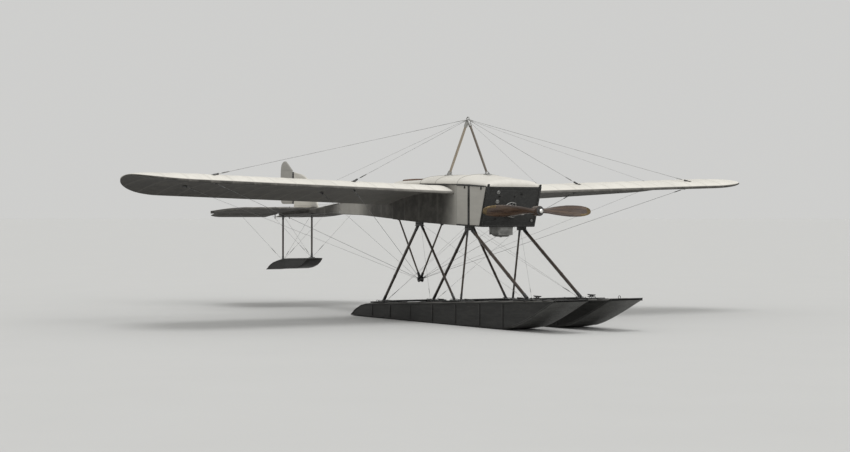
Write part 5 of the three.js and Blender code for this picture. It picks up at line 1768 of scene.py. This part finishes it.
def makeTailFloatStruts():
    irons = bmesh.new()
    for label, (x, foot) in tailFloat["struts"].items():
        top = edgeAt(low, x)
        bm = grainMesh()
        streamlinedLeg(bm, (x, 0, foot + 0.01), (x, 0, top - 0.006), 0.044, 0.032, Vector((1, 0, 0)), rings=14, swell=0.08)
        finishPiece(bm, f"tail_float_leg_{label}", "airframe", strutWood, [f"tail_float_strut_{label}"])
        for z, up in ((top - 0.008, -1), (foot + 0.010, 1)):
            softBox(irons, (x, 0, z), (0.12, 0.08, 0.012), 0.003)
            streamlinedLeg(irons, (x, 0, z), (x, 0, z + up * 0.08), 0.050, 0.040, Vector((1, 0, 0)), rings=3, swell=0.0)
            for dx in (-0.045, 0.045):
                bolt(irons, (x + dx, 0.0, z + up * 0.006), (0, 0, up), 0.007)
    finishPiece(irons, "tail_float_leg_irons", "airframe", darkSteel)
    wires = bmesh.new()
    (frontX, frontFoot), (rearX, rearFoot) = tailFloat["struts"]["front"], tailFloat["struts"]["rear"]
    bracedWire(wires, (frontX - 0.03, 0, edgeAt(low, frontX) - 0.02), (rearX + 0.04, 0, rearFoot + 0.03), 0.0018, 0.2, 0.005)
    bracedWire(wires, (rearX + 0.03, 0, edgeAt(low, rearX) - 0.02), (frontX - 0.04, 0, frontFoot + 0.03), 0.0018, 0.2, 0.005)
    for x, foot in tailFloat["struts"].values():
        for side in (-1, 1):
            bracedWire(wires, (x, side * 0.95, tailBase(x) - 0.004), (x, side * 0.03, foot + 0.03), 0.0018, 0.25, 0.005)
    finishPiece(wires, "tail_float_wires", "airframe", wireSteel)


makeTailplane()
makeHingeIrons()
makeElevator()
makeElevatorRod()
makeFin()
makeRudder()
makeRudderPost()
makeTailFloat()
makeTailFloatTrim()
makeTailFloatStruts()
print("tail made")


# Control cables, from the fuselage to the horns at rest
def elevatorCableStart(side, up):
    x = -4.6
    z = edgeAt(high, x) - 0.012 if up > 0 else edgeAt(low, x) + 0.04
    return Vector((x, side * (edgeAt(half, x) + 0.003), z))


def rudderCableStart(side):
    x = -4.3
    return Vector((x, side * edgeAt(half, x) * 0.8, edgeAt(high, x) + 0.03))


def makeControlCables():
    for name, side in sides.items():
        for label, up in (("upper", 1), ("lower", -1)):
            end = Vector((tail["hingeX"] - tail["hornBack"], side * 0.16, tail["hingeZ"] + up * 0.108))
            finishCable(f"elevator_cable_{label}_{name}", elevatorCableStart(side, up), end)
        finishCable(f"rudder_cable_{name}", rudderCableStart(side), Vector((tail["rudderX"] - 0.030, side * 0.140, 0.570)))


def finishCable(name, start, end):
    bm = bmesh.new()
    path = [start.lerp(end, 1 - (1 - k / 24) ** 2.2) for k in range(25)]
    tubeAlong(bm, path, 0.0018, sides=6)
    bmesh.ops.recalc_face_normals(bm, faces=bm.faces)
    bmesh.ops.translate(bm, vec=station, verts=bm.verts)
    for face in bm.faces:
        face.smooth = True
    mesh = bpy.data.meshes.new(name)
    bm.to_mesh(mesh)
    bm.free()
    mesh.materials.append(wireSteel)
    piece = bpy.data.objects.new(name, mesh)
    bpy.context.scene.collection.objects.link(piece)
    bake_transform(piece)


# Oval plates where the cables leave the fuselage
def makeFairleads():
    bm = bmesh.new()
    for side in sides.values():
        for start, out in ((rudderCableStart(side), (0.1, side * 0.55, 0.83)), (elevatorCableStart(side, 1), (0, side, 0)),
                           (elevatorCableStart(side, -1), (0, side, 0))):
            turned(bm, [(-0.004, 0.0), (-0.004, 0.020), (0.001, 0.020), (0.003, 0.014), (0.006, 0.008), (0.006, 0.0)], start, out, 16)
    return finishPiece(bm, "cable_fairleads", "airframe", ringIron)


makeControlCables()
makeFairleads()


# Cockpit
cockpit = {"panelX": -1.52, "wheelX": -1.53, "wheelZ": 0.60, "seatZ": 0.33}


def makeSeatFrame():
    bm = bmesh.new()
    floorZ = edgeAt(low, -2.0) + 0.02
    softBox(bm, (-2.0, 0, 0.308), (0.42, 0.44, 0.016), 0.004)
    panel = len(bm.faces)
    for x in (-2.17, -1.84):
        for side in (-1, 1):
            rodBetween(bm, (x, side * 0.18, edgeAt(low, x) + 0.015), (x, side * 0.18, 0.30), 0.014, sides=12)
    for side in (-1, 1):
        rodBetween(bm, (-2.225, side * 0.20, 0.28), (-2.232, side * 0.20, 0.685), 0.011, sides=12)
        turned(bm, [(0.0, 0.011), (0.003, 0.015), (0.012, 0.017), (0.021, 0.013), (0.026, 0.006), (0.027, 0.0)],
               (-2.232, side * 0.20, 0.684), (0, 0, 1), 20)
        rodBetween(bm, (-2.16, side * 0.18, 0.14), (-1.85, side * 0.18, 0.28), 0.008, sides=10)
    paintFaces(list(bm.faces)[panel:], 2)
    posts = len(bm.faces)
    for k in range(5):
        z = 0.36 + k * 0.072
        softBox(bm, (-2.228, 0, z), (0.008, 0.41, 0.050), 0.003)
    paintFaces(list(bm.faces)[posts:], 1)
    return finishPiece(bm, "seat_frame", "airframe", [cabinWood, boardWood, uprightWood])


# The seat's two leather pads: centre, size, the axis of their thickness and how far a point may swell
pads = {
    "seat_cushion": {"centre": (-1.995, 0, 0.340), "size": (0.36, 0.38, 0.045), "up": 2, "cap": 0.014, "replaces": ["seat"]},
    "back_cushion": {"centre": (-2.193, 0, 0.52), "size": (0.038, 0.38, 0.28), "up": 0, "cap": 0.011, "replaces": []},
}
padSewing = {"voxel": 0.006, "frames": 20, "pullIn": 0.011, "depth": 0.0085, "wide": 0.0095, "lines": (-0.6, -0.2, 0.2, 0.6),
             "piping": 0.0040, "stitch": 0.008, "gap": 0.004, "thread": 0.0009}


# Swells a closed pad with a short cloth run, then pulls its sides in and sews channels across it
def swellPad(name):
    pad = pads[name]
    up, along = pad["up"], 2 - pad["up"]
    centre, reach = Vector(pad["centre"]) + station, [side / 2 for side in pad["size"]]
    bm = bmesh.new()
    softBox(bm, pad["centre"], pad["size"], min(pad["size"]) * 0.3, None, 3)
    bmesh.ops.translate(bm, vec=station, verts=bm.verts)
    mesh = bpy.data.meshes.new(name)
    bm.to_mesh(mesh)
    bm.free()
    piece = bpy.data.objects.new(name, mesh)
    bpy.context.scene.collection.objects.link(piece)
    remesh = piece.modifiers.new("even", "REMESH")
    remesh.mode = "VOXEL"
    remesh.voxel_size = padSewing["voxel"]
    applyModifiers(piece)
    rest = [vert.co.copy() for vert in piece.data.vertices]
    cloth = piece.modifiers.new("swell", "CLOTH")
    cloth.settings.use_pressure = True
    cloth.settings.uniform_pressure_force = 4.0
    cloth.settings.effector_weights.gravity = 0.0
    cloth.settings.quality = 4
    for number in range(1, padSewing["frames"] + 1):
        bpy.context.scene.frame_set(number)
    applyModifiers(piece)
    bpy.context.scene.frame_set(1)
    for vert, start in zip(piece.data.vertices, rest):
        shift = vert.co - start
        if shift.length > pad["cap"]:
            vert.co = start + shift.normalized() * pad["cap"]
    smoother = piece.modifiers.new("smooth", "SUBSURF")
    smoother.levels = smoother.render_levels = 1
    applyModifiers(piece)
    for vert in piece.data.vertices:
        spot = vert.co - centre
        u, v = spot[along] / reach[along], spot[1] / reach[1]
        spot[along] -= math.copysign(padSewing["pullIn"], u) * max(0, 1 - v * v) * clamp(abs(u)) ** 4
        spot[1] -= math.copysign(padSewing["pullIn"], v) * max(0, 1 - u * u) * clamp(abs(v)) ** 4
        if spot[up] > 0:
            near = min(abs(spot[1] - line * reach[1]) for line in padSewing["lines"])
            groove = padSewing["depth"] * math.exp(-(near / padSewing["wide"]) ** 2) * clamp(1.25 - u ** 4)
            spot[up] -= groove * clamp(spot[up] / reach[up])
        vert.co = centre + spot
    piece.data.materials.append(leather)
    for polygon in piece.data.polygons:
        polygon.use_smooth = True
    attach(piece, "airframe")
    if pad["replaces"]:
        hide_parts(*pad["replaces"])
    return piece


# Piping round each pad's edge seam, and the stitches along its channels, both laid on the swollen surface
def makePadSewing(piece):
    pad = pads[piece.name]
    up, along = pad["up"], 2 - pad["up"]
    centre, reach = Vector(pad["centre"]) + station, [side / 2 for side in pad["size"]]
    skin = BVHTree.FromPolygons([vert.co for vert in piece.data.vertices], [polygon.vertices for polygon in piece.data.polygons])
    bm = bmesh.new()
    loop = []
    for k in range(132):
        a = k / 132 * 2 * math.pi
        out = Vector((0, 0, 0))
        out[along], out[1] = math.cos(a), math.sin(a)
        hit = skin.ray_cast(centre + out, -out)[0]
        loop.append(hit - station)
    tubeAlong(bm, loop, padSewing["piping"], sides=8, closed=True)
    finishPiece(bm, f"{piece.name}_piping", "airframe", darkLeather, sharp=80)
    bm = bmesh.new()
    down = Vector((0, 0, 0))
    down[up] = -1
    count = int(reach[along] * 1.84 / (padSewing["stitch"] + padSewing["gap"]))
    for line in padSewing["lines"]:
        for k in range(count):
            ends = []
            for shift in (0, padSewing["stitch"]):
                spot = centre.copy()
                spot[1] += line * reach[1]
                spot[along] += -reach[along] * 0.92 + k * (padSewing["stitch"] + padSewing["gap"]) + shift
                hit = skin.ray_cast(spot - down, down)[0]
                if hit is not None:
                    ends.append(hit - station - down * padSewing["thread"] * 0.4)
            if len(ends) == 2:
                rodBetween(bm, *ends, padSewing["thread"], sides=6)
    return finishPiece(bm, f"{piece.name}_stitches", "airframe", paleThread, sharp=80)


def applyModifiers(piece):
    bpy.context.view_layer.update()
    graph = bpy.context.evaluated_depsgraph_get()
    mesh = bpy.data.meshes.new_from_object(piece.evaluated_get(graph))
    piece.modifiers.clear()
    old = piece.data
    piece.data = mesh
    bpy.data.meshes.remove(old)


def makeSeatPads():
    for name in pads:
        makePadSewing(swellPad(name))


# A stuffed leather roll round the cockpit's edge, laced on every few centimetres
padding = {"radius": 0.0215, "pinch": 0.0026, "corner": 0.05, "step": 0.024, "lacing": 6, "lace": 0.0022}


def paddingPath():
    inner, front, rear = fuselage["cockpitHalf"] + 0.004, fuselage["cockpitFront"] - 0.012, fuselage["bulkhead"] + 0.015
    corner = padding["corner"]
    turns = []
    for cx, cy, start in ((front - corner, inner - corner, 0), (rear + corner, inner - corner, 90),
                          (rear + corner, -inner + corner, 180), (front - corner, -inner + corner, 270)):
        for k in range(7):
            a = math.radians(start + k * 15)
            turns.append(Vector((cx + math.cos(a) * corner, cy + math.sin(a) * corner, 0)))
    path = []
    for a, b in zip(turns, turns[1:] + turns[:1]):
        pieces = max(1, round((b - a).length / padding["step"]))
        path += [a.lerp(b, k / pieces) for k in range(pieces)]
    path = path[:len(path) // padding["lacing"] * padding["lacing"]]
    deckTop = deckCrown(fuselage["cockpitFront"]) - 0.02
    rearTop = rearCrown(fuselage["bulkhead"]) + 0.006
    for point in path:
        boardTop = edgeAt(high, point.x) + 0.078
        arch = 1 - (abs(point.y) / inner) ** 2
        ahead = blendTo(point.x, front - 0.14, front)
        behind = blendTo(point.x, rear + 0.14, rear)
        point.z = boardTop + (deckTop - boardTop) * arch * ahead + (rearTop - boardTop) * arch * behind
    return path


def makeCoamingRoll():
    bm = bmesh.new()
    path = paddingPath()
    every = padding["lacing"]
    sizes = [padding["radius"] - padding["pinch"] * (1 - abs(math.sin(math.pi * k / every))) ** 3 for k in range(len(path))]
    tubeAlong(bm, path, sizes, sides=16, closed=True)
    piece = finishPiece(bm, "cockpit_padding", "airframe", leather, sharp=80)
    laces = bmesh.new()
    for k in range(0, len(path), every):
        along = (path[(k + 1) % len(path)] - path[k - 1]).normalized()
        up = along.orthogonal().normalized()
        across = along.cross(up)
        size = sizes[k] + padding["lace"] * 0.4
        loop = [path[k] + (up * math.cos(a) + across * math.sin(a)) * size for a in (n / 18 * 2 * math.pi for n in range(18))]
        tubeAlong(laces, loop, padding["lace"], sides=6, closed=True)
    finishPiece(laces, "padding_lacing", "airframe", darkLeather)
    return piece


def makeColumn():
    bm = bmesh.new()
    foot = edgeAt(low, -1.48) + 0.015
    base, head = Vector((-1.43, 0, foot)), Vector((cockpit["wheelX"], 0, cockpit["wheelZ"]))
    softBox(bm, (-1.43, 0, foot + 0.013), (0.10, 0.12, 0.026), 0.004)
    turned(bm, [(0.01, 0.0), (0.01, 0.026), (0.05, 0.022), (0.06, 0.016), (0.42, 0.014), (0.458, 0.017), (0.475, 0.017), (0.48, 0.0)],
           base, head - base, 20)
    metalFaces = list(bm.faces)
    rim = [head + Vector((0, math.cos(a) * 0.125, math.sin(a) * 0.125)) for a in (k / 48 * 2 * math.pi for k in range(48))]
    for face in metalFaces:
        face.material_index = 1
    tubeAlong(bm, rim, 0.0115, sides=12, closed=True)
    for k in range(4):
        a = math.radians(45 + k * 90)
        rodBetween(bm, head, head + Vector((0, math.cos(a) * 0.123, math.sin(a) * 0.123)), 0.009, 0.007, sides=12)
    turned(bm, [(-0.014, 0.0), (-0.014, 0.026), (-0.008, 0.03), (0.010, 0.03), (0.016, 0.022), (0.018, 0.0)], head, (-1, 0, 0), 24)
    return finishPiece(bm, "column_and_wheel", "airframe", [cabinWood, darkSteel], ["control_column"])


def makeRudderBar():
    bm = bmesh.new()
    foot = edgeAt(low, -0.925) + 0.015
    rodBetween(bm, (-0.9, 0, foot), (-0.9, 0, foot + 0.105), 0.02, sides=20)
    softBox(bm, (-0.9, 0, foot + 0.112), (0.048, 0.55, 0.032), 0.010, segments=3)
    for side in (-1, 1):
        for dy in (0.12, 0.25):
            softBox(bm, (-0.9, side * dy, foot + 0.133), (0.045, 0.012, 0.02), 0.003)
    return finishPiece(bm, "foot_bar", "airframe", cabinWood, ["rudder_bar"])


# Floor boards, formers and longerons that show inside the open cockpit
def makeCabinFrames():
    bm = bmesh.new()
    for x in (-0.8, -1.15, -1.54, -2.0):
        for side in (-1, 1):
            softBox(bm, (x, side * 0.503, (edgeAt(low, x) + edgeAt(high, x)) / 2), (0.028, 0.024, edgeAt(high, x) - edgeAt(low, x) - 0.04), 0.004)
    paintFaces(bm.faces, 1)
    for side in (-1, 1):
        path = [Vector((x, side * 0.50, edgeAt(high, x) - 0.025)) for x in (-0.40, -0.9, -1.54, -2.0, -2.37)]
        tubeAlong(bm, path, 0.014, sides=8)
    for k in range(8):
        y = -0.4375 + k * 0.125
        rings = []
        for x in (-0.40, -0.95, -1.54, -1.95, -2.37):
            z = edgeAt(low, x) + 0.0145
            rings.append([Vector((x, y + dy, z + dz)) for dy, dz in ((-0.058, 0), (0.058, 0), (0.058, 0.006), (0.055, 0.009), (-0.055, 0.009), (-0.058, 0.006))])
        skinThrough(bm, rings)
    return finishPiece(bm, "cabin_frames", "airframe", [cabinWood, uprightWood])


# Dials on a board under the front decking: y, z, radius and where the pointer stands in degrees
instruments = {
    "boardX": -1.508, "boardZ": 0.735, "dials": [(-0.15, 0.760, 0.037, 40), (0.0, 0.772, 0.033, 110), (0.15, 0.760, 0.037, 210)],
}


def makeInstruments():
    bm = bmesh.new()
    x = instruments["boardX"]
    softBox(bm, (x, 0, instruments["boardZ"]), (0.014, 0.56, 0.15), 0.004)
    known = set(bm.faces)
    for y, z, radius, angle in instruments["dials"]:
        turned(bm, [(0.004, 0.0), (0.004, radius), (0.013, radius), (0.015, radius - 0.003), (0.013, radius - 0.006), (0.011, radius - 0.006)],
               (x, y, z), (-1, 0, 0), 28)
    for y in (-0.255, 0.255):
        for z in (0.675, 0.775):
            bolt(bm, (x - 0.007, y, z), (-1, 0, 0), 0.005)
    paintFaces([f for f in bm.faces if f not in known], 1)
    known = set(bm.faces)
    for y, z, radius, angle in instruments["dials"]:
        turned(bm, [(0.0105, 0.0), (0.0105, radius - 0.0055), (0.0095, radius - 0.0055), (0.0095, 0.0)], (x, y, z), (-1, 0, 0), 28)
    paintFaces([f for f in bm.faces if f not in known], 2)
    known = set(bm.faces)
    for y, z, radius, angle in instruments["dials"]:
        centre = Vector((x - 0.0108, y, z))
        pointer = Vector((-0.0012, math.cos(math.radians(angle)) * radius * 0.7, math.sin(math.radians(angle)) * radius * 0.7))
        rodBetween(bm, centre + Vector((-0.0012, 0, 0)), centre + pointer, 0.0020, 0.0007, sides=6)
        for k in range(10):
            a = math.radians(-50 + k * 31)
            out = Vector((0, math.cos(a), math.sin(a))) * radius
            rodBetween(bm, centre + out * 0.64, centre + out * 0.79, 0.0008, sides=4)
    paintFaces([f for f in bm.faces if f not in known], 3)
    return finishPiece(bm, "instrument_board", "airframe", [boardWood, brass, dialFace, blackTrim])


makeSeatFrame()
makeSeatPads()
makeCoamingRoll()
makeColumn()
makeRudderBar()
makeCabinFrames()
makeInstruments()
print("cockpit made")

# CAD nodes that stay in view get their finish here
for nodeName, material in (("engine_block", castMetal),):
    node = frame["nodes"][nodeName]
    node.data.materials.clear()
    node.data.materials.append(material)


# Stage: a wide pale floor, soft light from above, and the camera of the photograph
stage = {
    "floorSize": 900.0, "floor": (0.55, 0.55, 0.54), "sky": (0.62, 0.62, 0.61), "skyStrength": 1.0,
    "lights": [("overhead", 1.0, 30, (0.25, -0.20, 1.0)), ("front_fill", 1.3, 50, (1.0, 0.25, 0.55))],
}


def makeStage():
    bm = bmesh.new()
    bmesh.ops.create_grid(bm, x_segments=12, y_segments=12, size=stage["floorSize"] / 2)
    mesh = bpy.data.meshes.new("floor")
    bm.to_mesh(mesh)
    bm.free()
    floor = bpy.data.objects.new("floor", mesh)
    bpy.context.scene.collection.objects.link(floor)
    material, tree, shader = newTree("pale_floor")
    shade = noiseOf(tree, objectCoords(tree), 0.6, 4)
    tone = mixColour(tree, spread(tree, shade, 0.3, 0.7), stage["floor"], tuple(c * 0.985 for c in stage["floor"]))
    feed(tree, shader.inputs["Base Color"], tone)
    shader.inputs["Roughness"].default_value = 0.95
    shader.inputs["Specular IOR Level"].default_value = 0.1
    mesh.materials.append(material)
    world = bpy.data.worlds.new("studio")
    world.use_nodes = True
    background = world.node_tree.nodes["Background"]
    background.inputs["Color"].default_value = (*stage["sky"], 1)
    background.inputs["Strength"].default_value = stage["skyStrength"]
    bpy.context.scene.world = world
    for name, energy, angle, source in stage["lights"]:
        light = bpy.data.lights.new(name, "SUN")
        light.energy = energy
        light.angle = math.radians(angle)
        lamp = bpy.data.objects.new(name, light)
        lamp.rotation_mode = "QUATERNION"
        lamp.rotation_quaternion = Vector(source).to_track_quat("Z", "Y")
        bpy.context.scene.collection.objects.link(lamp)
    bpy.context.scene.view_settings.view_transform = "Standard"


camera = {"place": Vector((28.036, -17.251, 1.82)), "azimuth": 32, "elevation": 0.409, "roll": 0.116, "lens": 79.31, "sensor": 36}


def makeCamera():
    azimuth, elevation, roll = (math.radians(camera[key]) for key in ("azimuth", "elevation", "roll"))
    ahead = Vector((-math.cos(elevation) * math.cos(azimuth), math.cos(elevation) * math.sin(azimuth), -math.sin(elevation)))
    right = ahead.cross(Vector((0, 0, 1))).normalized()
    up = right.cross(ahead)
    rightRolled = right * math.cos(roll) + up * math.sin(roll)
    upRolled = up * math.cos(roll) - right * math.sin(roll)
    lens = bpy.data.cameras.new("camera")
    lens.lens = camera["lens"]
    lens.sensor_width = camera["sensor"]
    lens.clip_end = 2000
    viewer = bpy.data.objects.new("camera", lens)
    viewer.matrix_world = Matrix.Translation(camera["place"]) @ Matrix((rightRolled, upRolled, -ahead)).transposed().to_4x4()
    bpy.context.scene.collection.objects.link(viewer)
    bpy.context.scene.camera = viewer


makeStage()
makeCamera()
print("scene ready")
